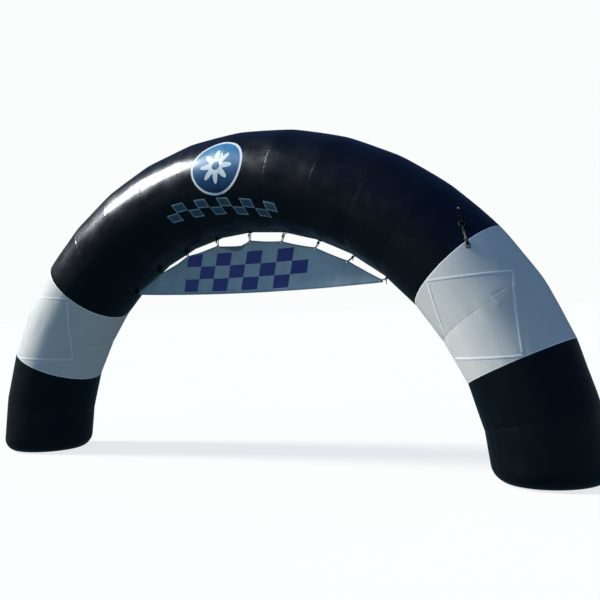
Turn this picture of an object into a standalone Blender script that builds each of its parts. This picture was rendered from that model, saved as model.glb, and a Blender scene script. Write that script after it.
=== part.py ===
"""Inflatable arch: a blown-up tube of coated cloth that stands on its two ends, with a cloth banner tied
under its crown. Metres, +Z up. The origin is on the ground, midway between the two feet. +X runs along
the span, the front faces -Y, and the ground is z = 0."""
import math

import bmesh
import bpy
from mathutils import Matrix, Vector

# Driving sizes of the tube
OUTER_SPAN = 8.0
TUBE_RADIUS = 0.575
GORE_COUNT = 18
SPRING_ANGLE = math.radians(3.77)
LEG_EXTENSION = 0.05
TUBE_SIDES = 48
CLEARANCE = 0.0003
BAND_SEAMS = (2, 4, 14, 16)

ARCH_RADIUS = OUTER_SPAN / 2 - TUBE_RADIUS
CENTRE_HEIGHT = LEG_EXTENSION - ARCH_RADIUS * math.sin(SPRING_ANGLE)
GORE_ANGLE = (math.pi - 2 * SPRING_ANGLE) / GORE_COUNT
FOOT_LEAN = SPRING_ANGLE + GORE_ANGLE / 2
MITRE_RADIUS = TUBE_RADIUS / math.cos(GORE_ANGLE / 2)

# Rounded foot: the tube turns in to a flat patch, and the base panel starts part of the way round
FOOT_ROUNDING = 0.18
ROUNDING_STEPS = 6
BASE_SEAM_STEP = 4

# Hook-and-loop strips: a leaning rectangle on the front of each white band, as (x, z) of its corners
TAPE_WIDTH = 0.028
TAPE_THICKNESS = 0.0022
TAPE_LIFT = 0.0009
TAPE_STEP = 0.03
TAPE_BUTT = 0.026
TAPE_CORNERS = {
    "upper_inner": (2.42, 1.99),
    "upper_outer": (3.21, 2.05),
    "lower_outer": (3.34, 1.255),
    "lower_inner": (2.59, 1.215),
}
TAPE_SIDES = (
    ("top", "upper_inner", "upper_outer"),
    ("outer", "upper_outer", "lower_outer"),
    ("bottom", "lower_outer", "lower_inner"),
    ("inner", "lower_inner", "upper_inner"),
)

# Webbing tabs and ties, one at each of these seams. The banner's edge is tied off a little to one side of
# its tab, at an angle about the arch's centre and a gap below the tube, and the knot leaves a loose tail.
TIE_COLUMNS = ("seam", "edge_degrees", "gap", "tail")
TIE_ROWS = (
    (5, 52.90, 0.074, 0.050),
    (6, 62.55, 0.093, 0.040),
    (7, 71.60, 0.092, 0.034),
    (8, 81.00, 0.099, 0.042),
    (9, 90.20, 0.093, 0.038),
    (10, 99.80, 0.083, 0.030),
    (11, 109.40, 0.064, 0.036),
    (12, 118.55, 0.065, 0.032),
    (13, 127.90, 0.066, 0.044),
)
TAB_WIDTH = 0.025
TAB_THICKNESS = 0.0025
TAB_FOOT = 0.022
TAB_BRIDGE = 0.020
TAB_SLOPE = 0.006
TAB_BEND_EASE = 0.0015
TAB_DROP = 0.0105
TIE_RADIUS = 0.0045
TIE_SIDES = 6
# A tie's loop: round upper corners, a straight stretch, then a neck that narrows to a round lower end
TIE_CORNER = 0.005
TIE_STRAIGHT_SHARE = 0.30
TIE_NECK_HEIGHT = 0.028
TIE_NECK_WIDENING = 0.002
TIE_END_RADIUS = 0.010
TIE_SEAT = 0.0026
KNOT_RADIUS = 0.0115
KNOT_FLATNESS = 0.8
KNOT_DEPTH = 0.030
# A loose end leaves the knot sideways and droops; the second one is shorter
TAIL_STATIONS = (0.0, 0.3, 0.6, 0.8, 1.0)
TAIL_SPREAD = 0.65
TAIL_TURN_DOWN = 0.6
TAIL_FIRST_DROP = 0.3
TAIL_STAND_OFF = 0.006
SHORT_TAIL = 0.8
ROUND_SIDES = 16

# Banner: a 2 mm sheet in the plane y = 0
BANNER_THICKNESS = 0.002
BANNER_LEFT = -1.740
BANNER_RIGHT = 1.685
BANNER_END_HEIGHT = 0.030
BANNER_BOTTOM_END = 2.010
BANNER_BOTTOM_SAG = 0.044
EDGE_SAG = 0.008
HOLE_RADIUS = 0.0065
HOLE_INSET = 0.018
CORNER_HOLE_REACH = 0.030
CORNER_HOLE_LIFT = 0.020
SPAN_COLUMNS = 6
SLACK_SPAN_COLUMNS = 12
BANNER_ROWS = 5
# Slack part of the top edge between two ties, turned over forwards: share of the way along, drop, flap depth
SLACK_SEAMS = (10, 9)
SLACK_COLUMNS = ("along", "drop", "flap")
SLACK_ROWS = (
    (0.00, 0.000, 0.004),
    (0.08, 0.016, 0.010),
    (0.30, 0.024, 0.026),
    (0.58, 0.038, 0.062),
    (0.76, 0.044, 0.040),
    (0.86, 0.030, 0.012),
    (1.00, 0.000, 0.004),
)
FLAP_GAP = 0.006
FLAP_ENDS = (0.05, 0.87)
# Soft folds that deepen towards the lower edge: centre x, half width, depth along y at the lower edge
FOLD_COLUMNS = ("x", "half_width", "depth")
FOLD_ROWS = (
    (-1.32, 0.16, -0.014),
    (-0.98, 0.13, 0.012),
    (-0.66, 0.10, -0.016),
    (-0.40, 0.09, 0.014),
    (-0.12, 0.12, -0.018),
    (0.20, 0.11, 0.013),
    (0.46, 0.10, -0.012),
    (0.82, 0.17, 0.016),
    (1.24, 0.15, -0.010),
)

# Tether on the right shoulder, laid down the tube along a line from (x, z) to (x, z)
TETHER_TOP = (2.662, 2.714)
TETHER_END = (2.884, 2.160)
STRAP_STEP = 0.02
ANCHOR_WIDTH = 0.036
ANCHOR_THICKNESS = 0.003
ANCHOR_LIFT = 0.0008
ANCHOR_LENGTH = 0.225
SLEEVE_RADIUS = 0.0085
SLEEVE_HALF_TURN = math.radians(135)
SLEEVE_STEPS = 8
WIRE_RADIUS = 0.004
WIRE_SIDES = 8
RING_WIDTH = 0.056
RING_LENGTH = 0.046
RING_CORNER = 0.012
STRAP_WIDTH = 0.017
STRAP_THICKNESS = 0.0045
STRAP_LENGTH = 0.150
# The clip is a bolt snap: an eye that takes the strap, a thick barrel, then a round hook closed by its bolt
EYE_WIDTH = 0.034
EYE_LENGTH = 0.022
EYE_CORNER = 0.008
BARREL_COLUMNS = ("along", "half_width", "half_height")
BARREL_ROWS = (
    (0.015, 0.0060, 0.0045),
    (0.021, 0.0125, 0.0080),
    (0.056, 0.0125, 0.0080),
    (0.062, 0.0070, 0.0050),
)
HOOK_START = 0.056
HOOK_WIDTH = 0.036
HOOK_LENGTH = 0.040
HOOK_CORNER = 0.016
HOOK_RADIUS = 0.0048
STUD_RADIUS = 0.016
STUD_HEIGHT = 0.007
STUD_PLACE = 0.034
STUD_PROFILE = ((1.0, 0.0), (1.0, 0.35), (0.8, 0.75), (0.45, 1.0))

BLACK = (0.004, 0.006, 0.010, 1.0)
WHITE = (0.62, 0.68, 0.72, 1.0)
TAPE_WHITE = (0.72, 0.75, 0.80, 1.0)
BANNER_BLUE_GREY = (0.30, 0.37, 0.45, 1.0)
WEBBING_BLACK = (0.010, 0.011, 0.013, 1.0)
WEBBING_BEIGE = (0.42, 0.36, 0.25, 1.0)
STEEL = (0.55, 0.56, 0.58, 1.0)
DARK_METAL = (0.03, 0.035, 0.045, 1.0)


def rows(columns, table):
    """The table's rows as dictionaries, by column name."""
    return [dict(zip(columns, row)) for row in table]


def clear_scene():
    for obj in list(bpy.data.objects):
        bpy.data.objects.remove(obj, do_unlink=True)


def finish_material(name, colour, roughness, metallic=0.0):
    material = bpy.data.materials.new(name)
    material.use_nodes = True
    shader = material.node_tree.nodes["Principled BSDF"]
    shader.inputs["Base Color"].default_value = colour
    shader.inputs["Roughness"].default_value = roughness
    shader.inputs["Metallic"].default_value = metallic
    material.diffuse_color = colour
    return material


def add_object(name, mesh, parent, colour, roughness=0.5, metallic=0.0, sharp_angle=30):
    """Name the mesh's object, give it its own finish and hang it under the parent."""
    mesh.materials.clear()
    mesh.materials.append(finish_material(name + "_finish", colour, roughness, metallic))
    mesh.shade_smooth()
    mesh.set_sharp_from_angle(angle=math.radians(sharp_angle))
    obj = bpy.data.objects.new(name, mesh)
    bpy.context.collection.objects.link(obj)
    obj.parent = parent
    return obj


def mesh_from_rings(name, rings, closed=False):
    """A closed solid from rings of equal length, bridged one to the next, with capped or joined ends."""
    shape = bmesh.new()
    loops = [[shape.verts.new(point) for point in ring] for ring in rings]
    count = len(loops[0])
    pairs = list(zip(loops, loops[1:]))
    if closed:
        pairs.append((loops[-1], loops[0]))
    for first, second in pairs:
        for i in range(count):
            j = (i + 1) % count
            shape.faces.new((first[i], first[j], second[j], second[i]))
    if not closed:
        shape.faces.new(loops[0])
        shape.faces.new(loops[-1])
    bmesh.ops.recalc_face_normals(shape, faces=shape.faces)
    mesh = bpy.data.meshes.new(name)
    shape.to_mesh(mesh)
    shape.free()
    return mesh


def combined(name, base, others, operation):
    """The base mesh joined with the others, or cut by them, as one new mesh."""
    holder = bpy.data.objects.new(name, base)
    bpy.context.collection.objects.link(holder)
    helpers = []
    for mesh in others:
        helper = bpy.data.objects.new(name + "_tool", mesh)
        bpy.context.collection.objects.link(helper)
        modifier = holder.modifiers.new("combine", "BOOLEAN")
        modifier.operation = operation
        modifier.object = helper
        helpers.append(helper)
    bpy.context.view_layer.update()
    evaluated = holder.evaluated_get(bpy.context.evaluated_depsgraph_get())
    result = bpy.data.meshes.new_from_object(evaluated)
    for obj in helpers + [holder]:
        bpy.data.objects.remove(obj, do_unlink=True)
    result.name = name
    return result


# The tube

def seam_angle(index):
    """The angle of a seam above the horizontal at the arch's centre, counted from the right foot."""
    return SPRING_ANGLE + index * GORE_ANGLE


def outward(angle):
    return Vector((math.cos(angle), 0.0, math.sin(angle)))


def centre_point(angle):
    return Vector((0.0, 0.0, CENTRE_HEIGHT)) + ARCH_RADIUS * outward(angle)


def seam_ring(index, shift):
    """The tube's section on a seam's mitre plane, moved by shift along the way to the next seam."""
    angle = seam_angle(index)
    along = Vector((-math.sin(angle), 0.0, math.cos(angle)))
    middle = centre_point(angle) + shift * along
    ring = []
    for side in range(TUBE_SIDES):
        turn = 2 * math.pi * side / TUBE_SIDES
        across = MITRE_RADIUS * math.cos(turn) * outward(angle)
        ring.append(middle + across + Vector((0.0, -TUBE_RADIUS * math.sin(turn), 0.0)))
    return ring


def foot_ring(side_sign, height, inset):
    """The leaning foot's level section at a height, drawn in by the inset."""
    spring_x = ARCH_RADIUS * math.cos(SPRING_ANGLE)
    centre_x = spring_x + (LEG_EXTENSION - height) * math.tan(FOOT_LEAN)
    half_x = TUBE_RADIUS / math.cos(FOOT_LEAN) - inset
    half_y = TUBE_RADIUS - inset
    ring = []
    for side in range(TUBE_SIDES):
        turn = 2 * math.pi * side / TUBE_SIDES
        x = side_sign * (centre_x + half_x * math.cos(turn))
        ring.append(Vector((x, -half_y * math.sin(turn), height)))
    return ring


def rounding(step):
    """Height and inset of one step of the rounded foot, from the wall down to the flat patch."""
    turn = 0.5 * math.pi * step / ROUNDING_STEPS
    return FOOT_ROUNDING * (1 - math.sin(turn)), FOOT_ROUNDING * (1 - math.cos(turn))


def gore_colour(index):
    """Gores are counted from 1 at the right foot; those between the band seams are white."""
    low_right, high_right, high_left, low_left = BAND_SEAMS
    white = low_right < index <= high_right or high_left < index <= low_left
    return WHITE if white else BLACK


def add_gores(parent):
    half_gap = CLEARANCE / 2
    for index in range(1, GORE_COUNT + 1):
        if index == 1:
            steps = [rounding(step) for step in range(BASE_SEAM_STEP, -1, -1)]
            rings = [foot_ring(1, height, inset) for height, inset in steps]
            rings.append(seam_ring(1, -half_gap))
        elif index == GORE_COUNT:
            steps = [rounding(step) for step in range(BASE_SEAM_STEP + 1)]
            rings = [seam_ring(GORE_COUNT - 1, half_gap)]
            rings += [foot_ring(-1, height, inset) for height, inset in steps]
        else:
            rings = [seam_ring(index - 1, half_gap), seam_ring(index, -half_gap)]
        name = f"gore_{index:02d}"
        add_object(name, mesh_from_rings(name, rings), parent, gore_colour(index), 0.32)


def add_base_panels(parent):
    for name, side_sign in (("base_right", 1), ("base_left", -1)):
        rings = []
        for step in range(BASE_SEAM_STEP, ROUNDING_STEPS + 1):
            height, inset = rounding(step)
            drop = CLEARANCE if step == BASE_SEAM_STEP else 0.0
            rings.append(foot_ring(side_sign, height - drop, inset))
        add_object(name, mesh_from_rings(name, rings), parent, BLACK, 0.5)


def tube_front(x, z):
    """The point of the tube's front that lies at (x, z), and its normal. Left and right are alike."""
    angle = math.atan2(z - CENTRE_HEIGHT, x)
    index = min(max(math.floor((angle - SPRING_ANGLE) / GORE_ANGLE), 0), GORE_COUNT - 1)
    middle = outward(seam_angle(index) + GORE_ANGLE / 2)
    start = centre_point(seam_angle(index))
    offset = (Vector((x, 0.0, z)) - start).dot(middle)
    depth = math.sqrt(TUBE_RADIUS ** 2 - offset ** 2)
    normal = (offset * middle + Vector((0.0, -depth, 0.0))) / TUBE_RADIUS
    return Vector((x, -depth, z)), normal


class TubeLine:
    """A line on the front of the tube, straight when seen along Y, measured by its length on the cloth.
    place(along, lift, across) is the point at that length, raised off the cloth and moved sideways."""

    SAMPLES = 400
    SMOOTHING = 6

    def __init__(self, start, end):
        shares = [i / self.SAMPLES for i in range(self.SAMPLES + 1)]
        pairs = [(start[0] + s * (end[0] - start[0]), start[1] + s * (end[1] - start[1])) for s in shares]
        found = [tube_front(x, z) for x, z in pairs]
        self.points = [point for point, _ in found]
        normals = [normal for _, normal in found]
        self.lengths = [0.0]
        for first, second in zip(self.points, self.points[1:]):
            self.lengths.append(self.lengths[-1] + (second - first).length)
        self.total = self.lengths[-1]
        self.normals = []
        for i in range(len(normals)):
            near = normals[max(i - self.SMOOTHING, 0): i + self.SMOOTHING + 1]
            self.normals.append(sum(near, Vector()).normalized())

    def index_at(self, along):
        """The sample before a length, and the share of the way to the next one."""
        low, high = 0, len(self.lengths) - 2
        while low < high:
            middle = (low + high + 1) // 2
            if self.lengths[middle] <= along:
                low = middle
            else:
                high = middle - 1
        span = self.lengths[low + 1] - self.lengths[low]
        return low, (along - self.lengths[low]) / span

    def place(self, along, lift, across):
        i, share = self.index_at(along)
        point = self.points[i].lerp(self.points[i + 1], share)
        normal = self.normals[i].lerp(self.normals[i + 1], share).normalized()
        forward = (self.points[i + 1] - self.points[i]).normalized()
        sideways = normal.cross(forward).normalized()
        return point + lift * normal + across * sideways


def band_rings(line, stations, low, high, width):
    """Four-cornered sections of a flat band laid on a tube line."""
    half = width / 2
    rings = []
    for along in stations:
        corners = ((low, -half), (low, half), (high, half), (high, -half))
        rings.append([line.place(along, lift, across) for lift, across in corners])
    return rings


def even_stations(start, end, step):
    count = max(2, math.ceil((end - start) / step))
    return [start + (end - start) * i / count for i in range(count + 1)]


def add_tapes(parent):
    for side_name, side_sign in (("right", 1), ("left", -1)):
        for tape, first, second in TAPE_SIDES:
            ends = [(side_sign * TAPE_CORNERS[key][0], TAPE_CORNERS[key][1]) for key in (first, second)]
            line = TubeLine(*ends)
            butt = 0.0 if tape in ("top", "bottom") else TAPE_BUTT
            stations = even_stations(butt, line.total - butt, TAPE_STEP)
            rings = band_rings(line, stations, TAPE_LIFT, TAPE_LIFT + TAPE_THICKNESS, TAPE_WIDTH)
            name = f"tape_{side_name}_{tape}"
            add_object(name, mesh_from_rings(name, rings), parent, TAPE_WHITE, 0.85)


# The banner, its tabs and its ties

def underside_point(seam):
    """The lowest point of the tube's section at a seam, on the side that faces the banner."""
    angle = seam_angle(seam)
    return centre_point(angle) - MITRE_RADIUS * outward(angle)


def edge_point(row):
    """The place of the banner's top edge at a tie."""
    reach = ARCH_RADIUS - MITRE_RADIUS - row["gap"]
    return Vector((0.0, 0.0, CENTRE_HEIGHT)) + reach * outward(math.radians(row["edge_degrees"]))


def hole_point(row):
    """The centre of the hole that a tie goes through."""
    corners = {TIE_ROWS[0][0]: (BANNER_RIGHT, -1), TIE_ROWS[-1][0]: (BANNER_LEFT, 1)}
    if row["seam"] in corners:
        end, inwards = corners[row["seam"]]
        return Vector((end + inwards * CORNER_HOLE_REACH, 0.0, bottom_height(end) + CORNER_HOLE_LIFT))
    return edge_point(row) - HOLE_INSET * outward(math.radians(row["edge_degrees"]))


def interpolate(pairs, value):
    """Straight-line value from sorted (place, value) pairs."""
    for (low, first), (high, second) in zip(pairs, pairs[1:]):
        if value <= high:
            return first + (second - first) * (value - low) / (high - low)
    return pairs[-1][1]


def bottom_height(x):
    """The lower edge, which sags between the two ends."""
    middle = (BANNER_LEFT + BANNER_RIGHT) / 2
    share = abs(x - middle) / (BANNER_RIGHT - middle)
    return BANNER_BOTTOM_END - BANNER_BOTTOM_SAG * (1 - share ** 2)


def top_corners():
    """The (x, z) places that the top edge hangs from, from left to right."""
    ties = sorted((edge_point(row).x, edge_point(row).z) for row in rows(TIE_COLUMNS, TIE_ROWS))
    end_height = BANNER_BOTTOM_END + BANNER_END_HEIGHT
    return [(BANNER_LEFT, end_height)] + ties[1:-1] + [(BANNER_RIGHT, end_height)]


def slack_table(column):
    """The slack stretch's (x, value) pairs, from left to right."""
    ties = {row["seam"]: edge_point(row).x for row in rows(TIE_COLUMNS, TIE_ROWS)}
    start, end = ties[SLACK_SEAMS[0]], ties[SLACK_SEAMS[1]]
    return [(start + row["along"] * (end - start), row[column]) for row in rows(SLACK_COLUMNS, SLACK_ROWS)]


def top_height(x):
    """The banner's top edge: chords from tie to tie that sag a little, one of them slack."""
    corners = top_corners()
    for (low, _), (high, _) in zip(corners, corners[1:]):
        if x <= high:
            share = (x - low) / (high - low)
            break
    height = interpolate(corners, x) - 4 * EDGE_SAG * share * (1 - share)
    slack = slack_table("drop")
    if slack[0][0] <= x <= slack[-1][0]:
        height -= interpolate(slack, x)
    return height


def fold_offset(x, up):
    """How far the cloth stands forward or back at x; nothing at the top edge, all of it at the lower one."""
    total = 0.0
    for fold in rows(FOLD_COLUMNS, FOLD_ROWS):
        total += fold["depth"] * math.exp(-((x - fold["x"]) / fold["half_width"]) ** 2)
    return total * (1 - up) ** 1.5


def column_places():
    """Where the sheet's columns of points stand: the same number in each span, and more in the slack one."""
    corners = [x for x, _ in top_corners()]
    slack_start = slack_table("drop")[0][0]
    places = [corners[0]]
    for low, high in zip(corners, corners[1:]):
        count = SLACK_SPAN_COLUMNS if abs(low - slack_start) < CLEARANCE else SPAN_COLUMNS
        places += [low + (high - low) * (i + 1) / count for i in range(count)]
    return places


def banner_sheet():
    """The banner's middle surface: rows from the lower edge to the top one, and the turned-over flap."""
    shape = bmesh.new()
    slack = slack_table("flap")
    flap_start, flap_end = [slack[0][0] + s * (slack[-1][0] - slack[0][0]) for s in FLAP_ENDS]
    columns = []
    for x in column_places():
        low, high = bottom_height(x), top_height(x)
        column = []
        for j in range(BANNER_ROWS + 1):
            up = j / BANNER_ROWS
            column.append(shape.verts.new((x, fold_offset(x, up), low + up * (high - low))))
        if flap_start <= x <= flap_end:
            depth = interpolate(slack, x)
            bend = 0.4 * FLAP_GAP
            for y, z in ((-0.5 * FLAP_GAP, high + bend), (-FLAP_GAP, high), (-FLAP_GAP, high - depth)):
                column.append(shape.verts.new((x, y, z)))
        columns.append(column)
    for left, right in zip(columns, columns[1:]):
        for j in range(min(len(left), len(right)) - 1):
            shape.faces.new((left[j], right[j], right[j + 1], left[j + 1]))
    for vertex in [v for v in shape.verts if not v.link_faces]:
        shape.verts.remove(vertex)
    mesh = bpy.data.meshes.new("banner_sheet")
    shape.to_mesh(mesh)
    shape.free()
    return mesh


def thickened(mesh, thickness):
    """The sheet as a closed solid of that thickness about its middle surface."""
    holder = bpy.data.objects.new("sheet", mesh)
    bpy.context.collection.objects.link(holder)
    modifier = holder.modifiers.new("thickness", "SOLIDIFY")
    modifier.thickness = thickness
    modifier.offset = 0.0
    modifier.use_even_offset = True
    bpy.context.view_layer.update()
    evaluated = holder.evaluated_get(bpy.context.evaluated_depsgraph_get())
    result = bpy.data.meshes.new_from_object(evaluated)
    bpy.data.objects.remove(holder, do_unlink=True)
    return result


def rod_mesh(name, start, end, radius, sides):
    """A straight round rod between two points."""
    axis = (end - start).normalized()
    first = axis.orthogonal().normalized()
    second = axis.cross(first)
    turns = [2 * math.pi * i / sides for i in range(sides)]
    spokes = [radius * (math.cos(turn) * first + math.sin(turn) * second) for turn in turns]
    return mesh_from_rings(name, [[point + spoke for spoke in spokes] for point in (start, end)])


def tube_along(name, points, radius, sides, closed, flat_normal):
    """A round cord or wire along points that lie near one plane, whose normal is given."""
    rings = []
    count = len(points)
    for i, point in enumerate(points):
        before = points[i - 1] if closed or i > 0 else point
        after = points[(i + 1) % count] if closed or i < count - 1 else point
        forward = (after - before).normalized()
        side = forward.cross(flat_normal).normalized()
        up = side.cross(forward)
        turns = [2 * math.pi * (k + 0.5) / sides for k in range(sides)]
        rings.append([point + radius * (math.cos(t) * side + math.sin(t) * up) for t in turns])
    return mesh_from_rings(name, rings, closed)


def add_banner(parent):
    sheet = thickened(banner_sheet(), BANNER_THICKNESS)
    reach = Vector((0.0, 0.02, 0.0))
    cutters = []
    for row in rows(TIE_COLUMNS, TIE_ROWS):
        centre = hole_point(row)
        cutters.append(rod_mesh("hole", centre - reach, centre + reach, HOLE_RADIUS, ROUND_SIDES))
    add_object("banner", combined("banner", sheet, cutters, "DIFFERENCE"), parent, BANNER_BLUE_GREY, 0.7)


def add_tabs(parent):
    """A bridge of webbing over each seam, with its two ends on the tube and room for a cord above it."""
    lean = GORE_ANGLE / 2
    for row in rows(TIE_COLUMNS, TIE_ROWS):
        angle = seam_angle(row["seam"])
        down = -outward(angle)
        along = Vector((-math.sin(angle), 0.0, math.cos(angle)))
        root = underside_point(row["seam"])
        half = TAB_BRIDGE
        lift = 2 * CLEARANCE

        def on_cloth(distance):
            """The seam lies in a shallow valley, so the tube's underside comes nearer on both sides of it."""
            return lift + abs(distance) * math.tan(lean)

        upper = [
            (-half - TAB_FOOT, on_cloth(half + TAB_FOOT)),
            (-half, on_cloth(half)),
            (-half + TAB_SLOPE, TAB_DROP),
            (half - TAB_SLOPE, TAB_DROP),
            (half, on_cloth(half)),
            (half + TAB_FOOT, on_cloth(half + TAB_FOOT)),
        ]
        lower = [(a, d + TAB_THICKNESS) for a, d in upper]
        lower[1] = (lower[1][0] - TAB_BEND_EASE, lower[1][1])
        lower[4] = (lower[4][0] + TAB_BEND_EASE, lower[4][1])
        rings = []
        for (a, top), (b, bottom) in zip(upper, lower):
            ring = []
            for place, depth, y in ((a, top, -1), (a, top, 1), (b, bottom, 1), (b, bottom, -1)):
                ring.append(root + place * along + depth * down + Vector((0.0, y * TAB_WIDTH / 2, 0.0)))
            rings.append(ring)
        name = f"tab_{row['seam']:02d}"
        add_object(name, mesh_from_rings(name, rings), parent, WEBBING_BLACK, 0.8)


def tie_loop(seam, root, hole):
    """The closed loop of a tie, over its tab and through the banner's hole, in the plane of Y and its own length."""
    down = (hole - root).normalized()
    straight_down = -outward(seam_angle(seam))
    top = (TAB_DROP - CLEARANCE - TIE_RADIUS) / down.dot(straight_down)
    hole_top = (hole - root).length - HOLE_RADIUS * math.cos(math.pi / ROUND_SIDES)
    bottom = hole_top + CLEARANCE + TIE_RADIUS
    half_top = TAB_WIDTH / 2 + 2 * CLEARANCE + TIE_RADIUS
    half_turn = math.sqrt(0.5)
    path = [
        (half_top - TIE_CORNER, top),
        (half_top - TIE_CORNER * (1 - half_turn), top + TIE_CORNER * (1 - half_turn)),
        (half_top, top + TIE_CORNER),
        (half_top, top + TIE_STRAIGHT_SHARE * (bottom - top)),
        (TIE_END_RADIUS + TIE_NECK_WIDENING, bottom - TIE_NECK_HEIGHT),
        (TIE_END_RADIUS, bottom - TIE_END_RADIUS),
        (TIE_END_RADIUS * half_turn, bottom - TIE_END_RADIUS * (1 - half_turn)),
        (TIE_SEAT, bottom),
    ]
    path += [(-y, d) for y, d in reversed(path)]
    return [root + d * down + Vector((0.0, y, 0.0)) for y, d in path]


def tail_place(share, aside):
    """Where a loose end of length 1 has got to, that share of the way along it."""
    outwards = TAIL_SPREAD * share * (1 - TAIL_TURN_DOWN * share) * aside
    fall = share * (TAIL_FIRST_DROP + (1 - TAIL_FIRST_DROP) * share)
    return outwards + Vector((0.0, 0.0, -fall))


def add_ties(parent):
    """Each tie is a loop with a knot at its front and two loose ends."""
    for row in rows(TIE_COLUMNS, TIE_ROWS):
        root = underside_point(row["seam"])
        hole = hole_point(row)
        down = (hole - root).normalized()
        across = down.cross(Vector((0.0, 1.0, 0.0)))
        loop = tie_loop(row["seam"], root, hole)
        half_top = TAB_WIDTH / 2 + 2 * CLEARANCE + TIE_RADIUS
        knot = root + KNOT_DEPTH * down + Vector((0.0, -half_top, 0.0))
        ball = bmesh.new()
        bmesh.ops.create_uvsphere(ball, u_segments=8, v_segments=6, radius=KNOT_RADIUS)
        bmesh.ops.scale(ball, vec=(1.0, 1.0, KNOT_FLATNESS), verts=ball.verts)
        bmesh.ops.translate(ball, vec=knot, verts=ball.verts)
        knot_mesh = bpy.data.meshes.new("knot")
        ball.to_mesh(knot_mesh)
        ball.free()
        parts = [knot_mesh]
        for side_sign, length in ((1, row["tail"]), (-1, SHORT_TAIL * row["tail"])):
            points = [knot + length * tail_place(s, side_sign * across) + Vector((0.0, -TAIL_STAND_OFF * s, 0.0))
                      for s in TAIL_STATIONS]
            normal = Vector((0.0, 1.0, 0.0))
            parts.append(tube_along("tail", points, TIE_RADIUS, TIE_SIDES, False, normal))
        ring = tube_along("loop", loop, TIE_RADIUS, TIE_SIDES, True, across)
        name = f"tie_{row['seam']:02d}"
        add_object(name, combined(name, ring, parts, "UNION"), parent, WEBBING_BLACK, 0.75)


# The tether on the right shoulder

def rounded_loop(width, length, corner, steps=3):
    """A closed path with round corners, as (along, across), from along = 0 to the length."""
    path = []
    centres = ((length - corner, width / 2 - corner, 0), (corner, width / 2 - corner, 1),
               (corner, -width / 2 + corner, 2), (length - corner, -width / 2 + corner, 3))
    for along, across, quarter in centres:
        for i in range(steps + 1):
            turn = 0.5 * math.pi * (quarter + i / steps)
            path.append((along + corner * math.cos(turn), across + corner * math.sin(turn)))
    return path


def wire_loop(name, line, start, path, radius, lift):
    """A closed wire loop laid on a tube line."""
    points = [line.place(start + along, lift, across) for along, across in path]
    middle = start + max(along for along, _ in path) / 2
    normal = line.place(middle, 1.0, 0.0) - line.place(middle, 0.0, 0.0)
    return tube_along(name, points, radius, WIRE_SIDES, True, normal)


def bolt_snap(line, start, lift):
    """The bolt snap: its barrel, with the eye and the hook joined to it."""
    turns = [2 * math.pi * i / ROUND_SIDES for i in range(ROUND_SIDES)]
    rings = []
    for row in rows(BARREL_COLUMNS, BARREL_ROWS):
        rings.append([line.place(start + row["along"], lift + row["half_height"] * math.sin(t),
                                 row["half_width"] * math.cos(t)) for t in turns])
    barrel = mesh_from_rings("barrel", rings)
    eye = wire_loop("eye", line, start, rounded_loop(EYE_WIDTH, EYE_LENGTH, EYE_CORNER), WIRE_RADIUS, lift)
    hook = wire_loop("hook", line, start + HOOK_START, rounded_loop(HOOK_WIDTH, HOOK_LENGTH, HOOK_CORNER),
                     HOOK_RADIUS, lift)
    return combined("tether_clip", barrel, [eye, hook], "UNION")


def sleeve_outline(band_start, band_end, low, high, eyes):
    """The side view of a strap with round sleeves at given places, as (along, lift), both ways round.
    eyes are (along, lift, sign): sign is +1 for a sleeve at the end and -1 for one at the start."""
    top, bottom = [], []
    for along in even_stations(band_start, band_end, STRAP_STEP):
        top.append((along, high))
        bottom.append((along, low))
    arcs = {1: [], -1: []}
    for along, lift, sign in eyes:
        for i in range(SLEEVE_STEPS + 1):
            turn = SLEEVE_HALF_TURN * (1 - 2 * i / SLEEVE_STEPS)
            height = lift + SLEEVE_RADIUS * math.sin(turn)
            arcs[sign].append((along + sign * SLEEVE_RADIUS * math.cos(turn), max(height, low)))
    return top + arcs[1] + list(reversed(bottom)) + list(reversed(arcs[-1]))


def strap_mesh(name, line, outline, width):
    """The outline carried across the strap's width."""
    rings = []
    for side in (-0.5, 0.5):
        rings.append([line.place(along, lift, side * width) for along, lift in outline])
    return mesh_from_rings(name, rings)


def pin_cutter(line, along, lift, width):
    """A round cutter across a sleeve, for the wire that runs in it."""
    start = line.place(along, lift, -width)
    end = line.place(along, lift, width)
    return rod_mesh("pin", start, end, WIRE_RADIUS + 2 * CLEARANCE, ROUND_SIDES)


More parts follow.
